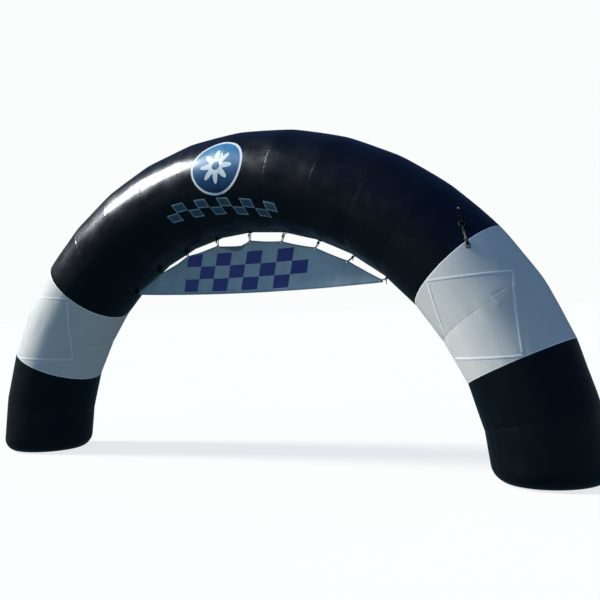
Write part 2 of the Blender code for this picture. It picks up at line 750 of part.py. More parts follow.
def add_tether(parent):
    line = TubeLine(TETHER_TOP, TETHER_END)
    lift = ANCHOR_LIFT + SLEEVE_RADIUS + CLEARANCE
    ring_start = ANCHOR_LENGTH
    strap_start = ring_start + RING_LENGTH
    clip_start = strap_start + STRAP_LENGTH

    outline = sleeve_outline(0.0, ring_start - SLEEVE_RADIUS, ANCHOR_LIFT, ANCHOR_LIFT + ANCHOR_THICKNESS,
                             [(ring_start, lift, 1)])
    body = strap_mesh("anchor_strap", line, outline, ANCHOR_WIDTH)
    cut = combined("anchor_strap", body, [pin_cutter(line, ring_start, lift, ANCHOR_WIDTH)], "DIFFERENCE")
    add_object("anchor_strap", cut, parent, WEBBING_BLACK, 0.8)

    path = rounded_loop(RING_WIDTH, RING_LENGTH, RING_CORNER)
    ring = wire_loop("tether_ring", line, ring_start, path, WIRE_RADIUS, lift)
    add_object("tether_ring", ring, parent, STEEL, 0.3, 1.0)

    low = lift - STRAP_THICKNESS / 2
    outline = sleeve_outline(strap_start + SLEEVE_RADIUS, clip_start - SLEEVE_RADIUS, low,
                             low + STRAP_THICKNESS, [(strap_start, lift, -1), (clip_start, lift, 1)])
    body = strap_mesh("tether_strap", line, outline, STRAP_WIDTH)
    cutters = [pin_cutter(line, place, lift, STRAP_WIDTH) for place in (strap_start, clip_start)]
    cut = combined("tether_strap", body, cutters, "DIFFERENCE")
    add_object("tether_strap", cut, parent, WEBBING_BEIGE, 0.85)

    add_object("tether_clip", bolt_snap(line, clip_start, lift), parent, DARK_METAL, 0.35, 1.0)

    seat = ANCHOR_LIFT + ANCHOR_THICKNESS + CLEARANCE
    turns = [2 * math.pi * i / ROUND_SIDES for i in range(ROUND_SIDES)]
    rings = []
    for spread, rise in STUD_PROFILE:
        rings.append([line.place(STUD_PLACE + STUD_RADIUS * spread * math.cos(t), seat + STUD_HEIGHT * rise,
                                 STUD_RADIUS * spread * math.sin(t)) for t in turns])
    add_object("anchor_stud", mesh_from_rings("anchor_stud", rings), parent, STEEL, 0.25, 1.0)


def main():
    clear_scene()
    arch = bpy.data.objects.new("inflatable_arch", None)
    bpy.context.collection.objects.link(arch)
    add_gores(arch)
    add_base_panels(arch)
    add_tapes(arch)
    add_banner(arch)
    add_tabs(arch)
    add_ties(arch)
    add_tether(arch)


main()
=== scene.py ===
"""Looks of the inflatable arch: a blown-up tube of coated cloth in mitred gores, hook-and-loop strips on
its white bands, a cloth banner tied under the crown and a tether on the right shoulder. Metres, +Z up, the
front faces -Y. Each piece stands for the frame's node of the same part and lies where that node lies."""
import contextlib
import math
import random

import bmesh
import bpy
import numpy as np
from mathutils import Matrix, Vector


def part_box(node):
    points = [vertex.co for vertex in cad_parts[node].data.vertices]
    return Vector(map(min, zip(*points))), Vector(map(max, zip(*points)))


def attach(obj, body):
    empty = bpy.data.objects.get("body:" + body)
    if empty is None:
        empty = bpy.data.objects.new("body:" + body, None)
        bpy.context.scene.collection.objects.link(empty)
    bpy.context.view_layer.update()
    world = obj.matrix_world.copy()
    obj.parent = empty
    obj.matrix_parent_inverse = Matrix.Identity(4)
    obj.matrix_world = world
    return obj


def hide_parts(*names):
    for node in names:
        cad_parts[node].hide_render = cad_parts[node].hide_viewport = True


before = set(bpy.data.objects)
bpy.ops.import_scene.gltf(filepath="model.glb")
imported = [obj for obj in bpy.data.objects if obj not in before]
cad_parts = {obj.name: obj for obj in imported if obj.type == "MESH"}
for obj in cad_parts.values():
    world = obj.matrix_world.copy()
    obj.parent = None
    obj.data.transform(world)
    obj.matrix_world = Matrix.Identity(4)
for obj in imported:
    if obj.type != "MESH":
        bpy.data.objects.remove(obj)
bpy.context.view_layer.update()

# Driving sizes of the tube, as in the frame
TUBE_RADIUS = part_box("gore_09")[1].y
NOMINAL_HALF_SPAN = 4.0
ARCH_RADIUS = NOMINAL_HALF_SPAN - TUBE_RADIUS
GORE_COUNT = 18
SPRING_ANGLE = math.radians(3.77)
LEG_EXTENSION = 0.05
FOOT_ROUNDING = 0.18
BASE_SEAM_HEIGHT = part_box("base_right")[1].z
CLEARANCE = 0.0003
BAND_SEAMS = (2, 4, 14, 16)

CENTRE_HEIGHT = LEG_EXTENSION - ARCH_RADIUS * math.sin(SPRING_ANGLE)
GORE_ANGLE = (math.pi - 2 * SPRING_ANGLE) / GORE_COUNT
FOOT_LEAN = SPRING_ANGLE + GORE_ANGLE / 2
MITRE_RADIUS = TUBE_RADIUS / math.cos(GORE_ANGLE / 2)

# Blanks that the gores and the legs are cut from, and the rows of points across them: distances from a
# seam, shares of the reach of the middle rows, and level rows that crowd together towards the ground
GORE_BLANK = 1.0
LEG_BLANK = 3.0
GORE_COLUMNS = 360
SEAM_ROWS = (0.0025, 0.005, 0.008, 0.012, 0.017, 0.024, 0.033, 0.045, 0.062, 0.085, 0.115, 0.150)
MIDDLE_ROWS = (-0.4, 0.0, 0.4)
MIDDLE_REACH = 0.075
FOOT_ROWS = 12
FOOT_ROWS_TOP = 0.30
BASE_ROWS = 6
ROWS_CROWDING = 1.6
# Edges that turn by more degrees than this stay sharp, on the skin and the banner and on the ties
SKIN_EDGE = 50
TIE_EDGE = 60

# How the seams draw the cloth in
SEAM_DEPTH = 0.0008
SEAM_HALF_WIDTH = 0.0040
SEAM_PULL = 0.0022
SEAM_PULL_REACH = 0.060
# Puckers from the stitching, then longer pulls: random seed, waves round the tube, depth, reach from the
# seam, strength on the tube's outer side and what the inner side adds to it
WAVE_COLUMNS = ("seed", "waves", "depth", "reach", "outer", "inner_more")
WAVE_ROWS = (
    (0, (34, 78), 0.00025, 0.030, 0.7, 1.5),
    (100, (9, 26), 0.0012, 0.110, 0.5, 1.2),
)
WAVES_PER_SEAM = 9
BILLOW_SEED = 7
BILLOW_DEPTH = 0.0011
BILLOW_LENGTHS = (0.30, 0.95)
BILLOW_COUNT = 14
# The outer side stands a little proud above the bands' lower seams, and more so between two seams
SWELL_DEPTH = 0.012
SWELL_BETWEEN_SEAMS = 0.006
SWELL_TURN = math.radians(-8.0)
SWELL_WIDTH = math.radians(32.0)
SWELL_HEIGHTS = (1.3, 1.9)
# The legs' inner side is drawn in below the bands
LEG_DRAW = 0.018
LEG_DRAW_HEIGHTS = (0.9, 1.45)
# Single creases: degrees along the arch, round the tube and of its own heading, then metres
CREASE_COLUMNS = ("along", "around", "heading", "length", "width", "depth")
CREASE_ROWS = (
    (33.0, 59.0, 90.0, 0.160, 0.008, -0.0022),
    (34.6, 55.0, 62.0, 0.110, 0.018, 0.0008),
    (31.6, 66.0, 112.0, 0.100, 0.020, 0.0018),
    (52.4, 74.0, 60.0, 0.060, 0.006, -0.0025),
    (50.9, 74.0, 120.0, 0.060, 0.006, -0.0025),
    (18.7, 12.0, 30.0, 0.110, 0.012, -0.0040),
    (139.0, 103.0, 20.0, 0.080, 0.008, -0.0030),
    (147.5, 150.0, 75.0, 0.200, 0.022, -0.0040),
    (64.5, 125.6, 0.0, 0.012, 0.006, -0.0020),
)

# Hook-and-loop strips: a leaning rectangle on the front of each white band, as (x, z) of its corners
TAPE_WIDTH = 0.028
TAPE_THICKNESS = 0.0022
TAPE_LIFT = 0.0009
TAPE_BUTT = 0.026
TAPE_CUTS = 12
TAPE_DROOP = 0.80
TAPE_STEP = 0.008
TAPE_THREAD_INSET = 0.0035
TAPE_CORNERS = {
    "upper_inner": (2.42, 1.99),
    "upper_outer": (3.21, 2.05),
    "lower_outer": (3.34, 1.255),
    "lower_inner": (2.59, 1.215),
}
TAPE_SIDES = (
    ("top", "upper_inner", "upper_outer"),
    ("outer", "upper_outer", "lower_outer"),
    ("bottom", "lower_outer", "lower_inner"),
    ("inner", "lower_inner", "upper_inner"),
)

# Tabs and ties: seam, the banner edge's angle about the arch's centre, its gap below the tube, loose tail
TIE_COLUMNS = ("seam", "edge_degrees", "gap", "tail")
TIE_ROWS = (
    (5, 52.90, 0.074, 0.050),
    (6, 62.55, 0.093, 0.040),
    (7, 71.60, 0.092, 0.034),
    (8, 81.00, 0.099, 0.042),
    (9, 90.20, 0.093, 0.038),
    (10, 99.80, 0.083, 0.030),
    (11, 109.40, 0.064, 0.036),
    (12, 118.55, 0.065, 0.032),
    (13, 127.90, 0.066, 0.044),
)
TAB_WIDTH = 0.025
TAB_THICKNESS = 0.0025
TAB_FOOT = 0.022
TAB_BRIDGE = 0.020
TAB_DROP = 0.0105
# From a tab's foot to its bridge: how far before or past the bridge's end, then the rise there. The first
# place lies on the cloth, and the third is short of the full rise
TAB_FOOT_END = 0.004
TAB_TURN = (0.001, 0.0018)
TAB_SHOULDER = (0.007, 0.0006)
TAB_LEVEL = 0.011
TAB_STEP = 0.0025
TAB_CUTS = 10
TIE_RADIUS = 0.0045
# A tie's loop: round upper corners, a straight stretch, then a neck that narrows to a round lower end
TIE_CORNER = 0.005
TIE_STRAIGHT_SHARE = 0.30
TIE_NECK_HEIGHT = 0.028
TIE_NECK_WIDENING = 0.002
TIE_END_RADIUS = 0.010
TIE_END_SHARES = (0.6, 0.3)
KNOT_DEPTH = 0.030
# A loose end leaves the knot sideways and droops; the second one is shorter
TAIL_STATIONS = (0.0, 0.3, 0.6, 0.8, 1.0)
TAIL_SPREAD = 0.65
TAIL_TURN_DOWN = 0.6
TAIL_FIRST_DROP = 0.3
TAIL_STAND_OFF = 0.006
TAIL_ROOT = 0.005
SHORT_TAIL = 0.8

# Banner: a 2 mm sheet in the plane y = 0
BANNER_THICKNESS = 0.002
BANNER_LEFT = -1.740
BANNER_RIGHT = 1.685
BANNER_END_HEIGHT = 0.030
BANNER_BOTTOM_END = 2.010
BANNER_BOTTOM_SAG = 0.044
EDGE_SAG = 0.008
HOLE_RADIUS = 0.0065
HOLE_SIDES = 24
PUNCH_LENGTH = 0.08
HOLE_INSET = 0.018
CORNER_HOLE_REACH = 0.030
CORNER_HOLE_LIFT = 0.020
HEM_WIDTH = 0.022
HEM_THREAD_INSET = 0.003
HEM_SHADE = 0.45
BANNER_STEP = 0.011
BANNER_ROWS = 44
SLACK_SEAMS = (10, 9)
SLACK_COLUMNS = ("along", "drop", "flap")
SLACK_ROWS = (
    (0.00, 0.000, 0.004),
    (0.08, 0.016, 0.010),
    (0.30, 0.024, 0.026),
    (0.58, 0.038, 0.062),
    (0.76, 0.044, 0.040),
    (0.86, 0.030, 0.012),
    (1.00, 0.000, 0.004),
)
FLAP_GAP = 0.006
FLAP_ENDS = (0.05, 0.87)
# Its first rows make the round turn, and the rest fall and lean out
FLAP_ROWS = 6
FLAP_TURN_ROWS = 3
FLAP_RISE_SHARE = 0.4
FLAP_LEAN = 0.004
FLAP_MAP_GAP = 0.01
# The mark that the flap carries in place of its distance from the hem
TURNED_OVER = -1.0
# Broad folds, which fade from the hem up to the ties by this power
FOLD_FADING = 1.5
FOLD_COLUMNS = ("x", "half_width", "depth")
FOLD_ROWS = (
    (-1.32, 0.16, -0.014),
    (-0.98, 0.13, 0.012),
    (-0.66, 0.10, -0.016),
    (-0.40, 0.09, 0.014),
    (-0.12, 0.12, -0.018),
    (0.20, 0.11, 0.013),
    (0.46, 0.10, -0.012),
    (0.82, 0.17, 0.016),
    (1.24, 0.15, -0.010),
)

# Tether on the right shoulder, laid down the tube along a line from (x, z) to (x, z)
TETHER_TOP = (2.662, 2.714)
TETHER_END = (2.884, 2.160)
ANCHOR_WIDTH = 0.036
ANCHOR_THICKNESS = 0.003
ANCHOR_LIFT = 0.0008
ANCHOR_LENGTH = 0.225
# Its webbing, and how it turns round the ring: where it leaves the cloth, the degrees that it turns by
# either way, and its way back as (distance from the wire, height)
ANCHOR_WEB = 0.0022
ANCHOR_CUTS = 14
ANCHOR_RISE_START = 0.030
ANCHOR_TURN = 110
ANCHOR_RETURN = ((0.022, 0.0033), (0.075, 0.0036))
SLEEVE_RADIUS = 0.0085
WIRE_RADIUS = 0.004
RING_WIDTH = 0.056
RING_LENGTH = 0.046
RING_CORNER = 0.012
STRAP_WIDTH = 0.017
STRAP_THICKNESS = 0.0045
STRAP_LENGTH = 0.150
# How it turns round the ring and the clip's eye, in degrees, its stand-off from their wire, where it comes
# straight, and its height there above the wires' middle
STRAP_RING_TURN = (-100, 60)
STRAP_EYE_TURN = (120, -100)
STRAP_STAND_OFF = 0.0010
STRAP_STRAIGHT = 0.020
STRAP_RISE = 0.0006
STRIP_STEP = 0.003
STRAP_CUTS = 8
ROUTE_STEPS = 30
# The clip is a bolt snap: an eye that takes the strap, a thick barrel, then a round hook closed by its bolt
EYE_WIDTH = 0.034
EYE_LENGTH = 0.022
EYE_CORNER = 0.008
BARREL_START = 0.021
BARREL_END = 0.056
BARREL_HALF_WIDTH = 0.0150
BARREL_HALF_HEIGHT = 0.0090
BARREL_SHOULDER = 0.0025
BARREL_NECK = 0.006
BARREL_NECK_SHARE = 0.70
BARREL_SIDES = 32
KNOB_PLACE = 0.046
KNOB_RADIUS = 0.0045
KNOB_REACH = 0.007
KNOB_SIDES = 24
HOOK_START = 0.056
HOOK_WIDTH = 0.034
HOOK_LENGTH = 0.038
HOOK_CORNER = 0.015
HOOK_RADIUS = 0.0064
WIRE_STEP = 0.002
WIRE_SIDES = 16
STUD_RADIUS = 0.016
STUD_HEIGHT = 0.007
STUD_PLACE = 0.034
STUD_SIDES = 32
# From its middle to its rim: share of the stud's radius, share of its height
STUD_PROFILE = ((0.0, 1.0), (0.45, 0.98), (0.72, 0.90), (0.95, 0.16), (1.0, 0.0))
HARDWARE_LIFT = ANCHOR_LIFT + SLEEVE_RADIUS + CLEARANCE

# Prints: a disc and a chequered ribbon on the crown, and a chequer on the banner
PRINTED_GORES = (7, 8, 9, 10, 11, 12)
DISC_ALONG = math.radians(90.9)
DISC_AROUND = math.radians(75.5)
DISC_RADIUS = 0.335
DISC_RING = 0.026
PETAL_COUNT = 8
PETAL_REACH = 0.150
PETAL_DEPTH = 0.055
ROSETTE_EYE = 0.050
RIBBON_AROUND = math.radians(122.0)
RIBBON_TILT = 0.075
RIBBON_SLANT = 0.35
RIBBON_CELL = (0.165, 0.105)
RIBBON_COUNT = (10, 2)
RIBBON_RIM = 0.014
BANNER_PRINT_X = -0.10
BANNER_PRINT_UP = 0.262
BANNER_PRINT_SLANT = 0.22
BANNER_PRINT_CELL = (0.215, 0.150)
BANNER_PRINT_COUNT = (8, 3)
BANNER_PRINT_RIM = 0.003

# Cloth and thread
PLAIN_SEAM = 6 * GORE_ANGLE
FOLD_WIDTH = 0.011
STITCH_ROWS = (0.004, 0.009)
STITCH_PITCH = 0.006
STITCH_LENGTH = 0.004
THREAD_RADIUS = 0.0006
SPLASH_HEIGHT = 0.45
# The weave is drawn coarser than its real 0.8 mm threads, so that it shows from a step away
WEAVE_PITCH = 0.0032
WEAVE_DEPTH = 0.00002
DIMPLE_DEPTH = 0.00005
FOLD_STEP = 0.00015
STITCH_RELIEF = 0.0001
# Ribs of webbing and a cord's strands at their real size, and the banner's threads at four times theirs
RIB_PITCH = 0.0030
BRAID_PITCH = 0.0011
FLAG_PITCH = 0.0024
WEB_THREAD_INSET = 0.003
# The part of the tether strap's length over which the painted shade at its upper end, near the ring, fades
# out
STRAP_SHADE_LENGTHS = (0.070, 0.105)
STRAP_SHADE_SHARE = 0.75

# How far apart the marks of each finish lie, in metres: dust, splashes, uneven gloss and dimples of the
# coated cloth, bleaching and crumples of the banner, loops of the tape's pile, wear of webbing and cord,
# and spots, rubs, wear and grains of the metals. The loops are drawn at 2 mm, a few times their real size,
# so that they show
DUST_SIZE = 0.55556
SPLASH_SIZE = 0.058824
GLOSS_SIZE = 0.23256
DIMPLE_SIZE = 0.038462
BLEACH_SIZE = 0.35714
CRUMPLE_SIZE = 0.055556
PILE_SIZE = 0.0020833
WEB_WEAR_SIZE = 0.011765
CORD_WEAR_SIZE = 0.004
PLATE_SPOT_SIZE = 0.00625
PLATE_RUB_SIZE = 0.0015385
COAT_WEAR_SIZE = 0.0083333
COAT_GRAIN_SIZE = 0.0028571
FLOOR_MOTTLE_SIZE = 2.5

# Pulls below the ties and small ripples in the banner
PULL_FOLD_DEPTH = 0.004
PULL_FOLD_COUNT = 5
PULL_FOLD_START = 0.05
PULL_FOLD_REACH = 0.11
RIPPLE_SEED = 3
RIPPLE_COUNT = 9
RIPPLE_LEAN = 0.6
RIPPLE_LENGTHS = (0.16, 0.55)
RIPPLE_DEPTH = 0.0018

# Cord: steps along it, and the strands of its braid. A smooth curve is worked out in this many steps from
# each of its points to the next
CURVE_STEPS = 12
CORD_STEP = 0.0015
BRAID_TURNS_PER_METRE = 34.0
BRAID_STRANDS = 4
BRAID_RELIEF = 0.07
CORD_SIDES = 12
KNOT_TURNS = 2.5
KNOT_STEPS = 20
KNOT_HEIGHT = 0.0165
KNOT_WINDING = 0.0078
TIGHT_CORD = 0.93
SEALED_END = 1.18

# Camera, light and floor
CLIP_END = 500
FLOOR_SIZE = 400
EYE = (5.867, -8.681, 1.793)
VIEW_RIGHT = (0.85609, 0.51541, -0.03828)
VIEW_UP = (0.03616, 0.01414, 0.99925)
FOCAL_PIXELS = 898.0
FRAME_PIXELS = 600.0
SENSOR = 36.0
SUN_TOWARDS = (-0.776, -0.243, 0.583)
SUN_STRENGTH = 5.5
SUN_SOFTNESS = 12.0
SUN_COLOUR = "#fffef4"
BACKDROP = "#fbfcfc"
FLOOR_GLOW = "#e2e4e6"
# Surround that lights the piece, and the deeper one that its gloss mirrors: places from down (0) to up (1)
FILL_STOPS = ((0.40, "#667882"), (0.80, "#5676a1"), (0.50, "#91a9bb"), (0.56, "#7e9cb4"))
MIRROR_STOPS = ((0.40, "#304650"), (0.80, "#27406c"), (0.50, "#4c575a"), (0.60, "#35424f"))


def rows(columns, table):
    """The table's rows as dictionaries, by column name."""
    return [dict(zip(columns, row)) for row in table]


# Working by hand in Blender

def choose(obj):
    """Only this object is selected and active."""
    bpy.ops.object.select_all(action="DESELECT")
    obj.select_set(True)
    bpy.context.view_layer.objects.active = obj


@contextlib.contextmanager
def editing(obj):
    """Edit mode on one object, with the whole of its mesh selected."""
    choose(obj)
    bpy.ops.object.mode_set(mode="EDIT")
    bpy.ops.mesh.select_all(action="SELECT")
    yield obj
    bpy.ops.object.mode_set(mode="OBJECT")


def settle(obj, name):
    """Name a fresh primitive and put its place into its mesh."""
    obj.name = name
    obj.data.name = name
    choose(obj)
    bpy.ops.object.transform_apply(location=True, rotation=True, scale=True)
    return obj


def copied(obj, name, matrix=Matrix.Identity(4)):
    """A copy with its own mesh, moved by the matrix."""
    twin = obj.copy()
    twin.data = obj.data.copy()
    twin.name = name
    twin.data.name = name
    bpy.context.collection.objects.link(twin)
    twin.data.transform(matrix)
    return twin


def apply_modifier(obj, kind, **settings):
    choose(obj)
    modifier = obj.modifiers.new(kind.lower(), kind)
    for key, value in settings.items():
        setattr(modifier, key, value)
    bpy.ops.object.modifier_apply(modifier=modifier.name)


def points_of(obj):
    co = np.zeros(len(obj.data.vertices) * 3)
    obj.data.vertices.foreach_get("co", co)
    return co.reshape(-1, 3)


def move_points(obj, points):
    obj.data.vertices.foreach_set("co", np.asarray(points, float).ravel())
    obj.data.update()


def keep_flat(mesh, flat):
    """The piece's own map, in metres: where its points lay flat before they were bent into place."""
    layer = mesh.uv_layers[0] if mesh.uv_layers else mesh.uv_layers.new(name="flat")
    corners = np.zeros(len(mesh.loops), int)
    mesh.loops.foreach_get("vertex_index", corners)
    layer.data.foreach_set("uv", np.asarray(flat)[corners].ravel())


def smooth(obj, degrees=40):
    choose(obj)
    bpy.ops.object.shade_smooth_by_angle(angle=math.radians(degrees))


def place_piece(obj, material, slot, *nodes):
    """The finished piece: its finish, the body it rides on, and the nodes it stands for. Its slot is not
    used.
    """
    obj.data.materials.clear()
    obj.data.materials.append(material)
    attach(obj, "root")
    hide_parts(*nodes)
    return obj


# Places on the tube

def outward(angle):
    return Vector((math.cos(angle), 0.0, math.sin(angle)))


def seam_angle(index):
    """The angle of a seam above the horizontal at the arch's centre, counted from the right foot."""
    return SPRING_ANGLE + index * GORE_ANGLE


def centre_point(angle):
    return Vector((0.0, 0.0, CENTRE_HEIGHT)) + ARCH_RADIUS * outward(angle)


def tangent(angle):
    return Vector((-math.sin(angle), 0.0, math.cos(angle)))


def tube_place(points):
    """Angle along the arch, angle round the tube from its outer side towards the front, and the reach."""
    rise = points[:, 2] - CENTRE_HEIGHT
    reach = np.hypot(points[:, 0], rise)
    return np.arctan2(rise, points[:, 0]), np.arctan2(-points[:, 1], reach - ARCH_RADIUS), reach


def seeded_waves(seed, count, low, high):
    """Whole numbers of waves round the tube and their phases, the same each run."""
    dice = random.Random(seed)
    return [(dice.randint(low, high), dice.uniform(0, 2 * math.pi)) for _ in range(count)]


def wave_sum(waves, around):
    return sum(np.cos(number * around + phase) for number, phase in waves) / math.sqrt(len(waves))


def billows(points):
    """Very soft hollows and swells of the whole skin."""
    dice = random.Random(BILLOW_SEED)
    total = np.zeros(len(points))
    for _ in range(BILLOW_COUNT):
        way = Vector([dice.gauss(0, 1) for _ in range(3)]).normalized()
        length = dice.uniform(*BILLOW_LENGTHS)
        total += np.sin(points @ np.array(way) * 2 * math.pi / length + dice.uniform(0, 2 * math.pi))
    return BILLOW_DEPTH * total / math.sqrt(BILLOW_COUNT)


def creases(along, around, reach):
    """Single creases that were placed one by one."""
    total = np.zeros(len(along))
    for crease in rows(CREASE_COLUMNS, CREASE_ROWS):
        across_seams = (along - math.radians(crease["along"])) * reach
        round_tube = (around - math.radians(crease["around"])) * TUBE_RADIUS
        turn = math.radians(crease["heading"])
        forward = across_seams * math.cos(turn) + round_tube * math.sin(turn)
        aside = -across_seams * math.sin(turn) + round_tube * math.cos(turn)
        half = crease["length"] / 2
        total += crease["depth"] * np.exp(-(forward / half) ** 2 - (aside / crease["width"]) ** 2)
    return total


def cloth_relief(points):
    """How far the real skin lies outside (or, below zero, inside) the even tube."""
    along, around, reach = tube_place(points)
    place = (along - SPRING_ANGLE) / GORE_ANGLE
    seam = np.clip(np.rint(place), 1, GORE_COUNT - 1)
    distance = np.abs(place - seam) * GORE_ANGLE * reach
    inner = 0.5 - 0.5 * np.cos(around)
    total = -SEAM_DEPTH * np.exp(-(distance / SEAM_HALF_WIDTH) ** 2)
    total -= SEAM_PULL * np.exp(-distance / SEAM_PULL_REACH)
    for index in range(1, GORE_COUNT):
        here = seam == index
        for row in rows(WAVE_COLUMNS, WAVE_ROWS):
            waves = seeded_waves(row["seed"] + index, WAVES_PER_SEAM, *row["waves"])
            strength = row["depth"] * (row["outer"] + row["inner_more"] * inner[here])
            fading = np.exp(-distance[here] / row["reach"])
            total[here] += strength * wave_sum(waves, around[here]) * fading
    share = place - np.floor(place)
    swell = SWELL_DEPTH + SWELL_BETWEEN_SEAMS * 4 * share * (1 - share)
    swell *= np.exp(-((around - SWELL_TURN) / SWELL_WIDTH) ** 2)
    total += swell * np.interp(points[:, 2], SWELL_HEIGHTS, (0, 1))
    total -= LEG_DRAW * inner ** 2 * np.interp(points[:, 2], LEG_DRAW_HEIGHTS, (1, 0))
    total += billows(points) + creases(along, around, reach)
    return total * np.clip(points[:, 2] / FOOT_ROUNDING, 0, 1)


def raise_skin(obj):
    """Move an even tube's points to where the real skin lies, in the plane through the arch's centre."""
    points = points_of(obj)
    along, around, _ = tube_place(points)
    out = np.cos(around)
    way = np.stack([np.cos(along) * out, -np.sin(around), np.sin(along) * out], axis=1)
    move_points(obj, points + way * cloth_relief(points)[:, None])


def tube_front(x, z):
    """The points of the even tube's front that lie at (x, z), and their normals."""
    along = np.arctan2(z - CENTRE_HEIGHT, x)
    gore = np.clip(np.floor((along - SPRING_ANGLE) / GORE_ANGLE), 0, GORE_COUNT - 1)
    seam = SPRING_ANGLE + gore * GORE_ANGLE
    middle = seam + GORE_ANGLE / 2
    from_seam_x = x - ARCH_RADIUS * np.cos(seam)
    from_seam_z = z - CENTRE_HEIGHT - ARCH_RADIUS * np.sin(seam)
    offset = from_seam_x * np.cos(middle) + from_seam_z * np.sin(middle)
    depth = np.sqrt(TUBE_RADIUS ** 2 - offset ** 2)
    normals = np.stack([offset * np.cos(middle), -depth, offset * np.sin(middle)], axis=1) / TUBE_RADIUS
    return np.stack([x, -depth, z], axis=1), normals


class TubeLine:
    """A line on the front of the tube, straight when seen along Y, that flat pieces are laid along."""

    SAMPLES = 400
    SMOOTHING = 13
    PROBE = 0.001

    def __init__(self, start, end):
        share = np.linspace(0, 1, self.SAMPLES + 1)
        x = start[0] + share * (end[0] - start[0])
        z = start[1] + share * (end[1] - start[1])
        self.points, normals = tube_front(x, z)
        steps = np.linalg.norm(np.diff(self.points, axis=0), axis=1)
        self.lengths = np.concatenate([[0.0], np.cumsum(steps)])
        self.total = self.lengths[-1]
        self.normals = self.evened(normals)
        self.relief = self.evened(cloth_relief(self.points)[:, None])[:, 0]

    def evened(self, values):
        """Values along the line, each the mean of its neighbours."""
        pad = self.SMOOTHING // 2
        wide = np.pad(values, ((pad, pad), (0, 0)), mode="edge")
        kernel = np.ones(self.SMOOTHING) / self.SMOOTHING
        return np.stack([np.convolve(column, kernel, mode="valid") for column in wide.T], axis=1)

    def along_line(self, values, along):
        return np.stack([np.interp(along, self.lengths, column) for column in values.T], axis=1)

    def lay(self, flat):
        """Where flat points (along, across, lift) come to lie on the cloth."""
        flat = np.asarray(flat, float)
        along = flat[:, 0]
        point = self.along_line(self.points, along)
        normal = self.along_line(self.normals, along)
        normal /= np.linalg.norm(normal, axis=1)[:, None]
        ahead = self.along_line(self.points, np.minimum(along + self.PROBE, self.total))
        behind = self.along_line(self.points, np.maximum(along - self.PROBE, 0.0))
        forward = ahead - behind
        forward /= np.linalg.norm(forward, axis=1)[:, None]
        sideways = np.cross(normal, forward)
        sideways /= np.linalg.norm(sideways, axis=1)[:, None]
        lift = flat[:, 2] + np.interp(along, self.lengths, self.relief)
        return point + lift[:, None] * normal + flat[:, 1:2] * sideways


def lay_on(obj, line):
    points = points_of(obj)
    keep_flat(obj.data, points[:, :2])
    move_points(obj, line.lay(points))


# Finishes

def linear(colour):
    """An sRGB hex colour as the linear values that Blender works in."""
    parts = [int(colour[i:i + 2], 16) / 255 for i in (1, 3, 5)]
    return [c / 12.92 if c <= 0.04045 else ((c + 0.055) / 1.055) ** 2.4 for c in parts] + [1.0]


def add(tree, kind, inputs=(), **settings):
    """A node with its settings. Inputs go to its live sockets in order, or by name; each is a value, a
    socket, or a node, which gives its first live output. A MapRange takes the value, the two ends of the
    range that it is read over, and the two that they become."""
    node = tree.nodes.new("ShaderNode" + kind)
    for key, value in settings.items():
        setattr(node, key, value)
    live = [socket for socket in node.inputs if socket.enabled]
    for key, value in inputs.items() if isinstance(inputs, dict) else enumerate(inputs):
        socket = node.inputs[key] if isinstance(key, str) else live[key]
        if isinstance(value, bpy.types.Node):
            value = next(output for output in value.outputs if output.enabled)
        if isinstance(value, bpy.types.NodeSocket):
            tree.links.new(value, socket)
        else:
            socket.default_value = value
    return node


def new_finish(name, **even):
    """A material with a Principled shader, whose even values are set on its own sockets."""
    material = bpy.data.materials.new(name)
    material.use_nodes = True
    shader = material.node_tree.nodes["Principled BSDF"]
    for key, value in even.items():
        shader.inputs[key.replace("_", " ")].default_value = value
    return material, material.node_tree, shader


def finished(tree, shader, paint, bumps, roughness=None):
    """Join a finish to its shader. Bumps are (height, real depth in metres), the coarsest first."""
    tree.links.new(next(output for output in paint.outputs if output.enabled), shader.inputs["Base Color"])
    if roughness:
        tree.links.new(roughness.outputs[0], shader.inputs["Roughness"])
    normal = None
    for height, depth in bumps:
        inputs = {"Height": height, "Distance": depth}
        if normal:
            inputs["Normal"] = normal
        normal = add(tree, "Bump", inputs)
    tree.links.new(normal.outputs[0], shader.inputs["Normal"])


def weave(tree, ways, pitch):
    """Height of threads that pass over and under each other, from -1 to 1."""
    turns = [add(tree, "Math", (way, 2 * math.pi / pitch), operation="MULTIPLY") for way in ways]
    threads = [add(tree, "Math", (turn,), operation="SINE") for turn in turns]
    return add(tree, "Math", threads, operation="MULTIPLY")


def stitches(tree, distance, rows_at, travel):
    """Rows of thread at these distances from an edge: 1 on each stitch and 0 elsewhere."""
    step = add(tree, "Math", (travel, STITCH_PITCH), operation="FLOORED_MODULO")
    thread = add(tree, "Math", (step, STITCH_LENGTH), operation="LESS_THAN")
    row = 0.0
    for place in rows_at:
        near = add(tree, "Math", (distance, place, THREAD_RADIUS), operation="COMPARE")
        row = add(tree, "Math", (near, row), operation="MAXIMUM")
    return add(tree, "Math", (row, thread), operation="MULTIPLY")


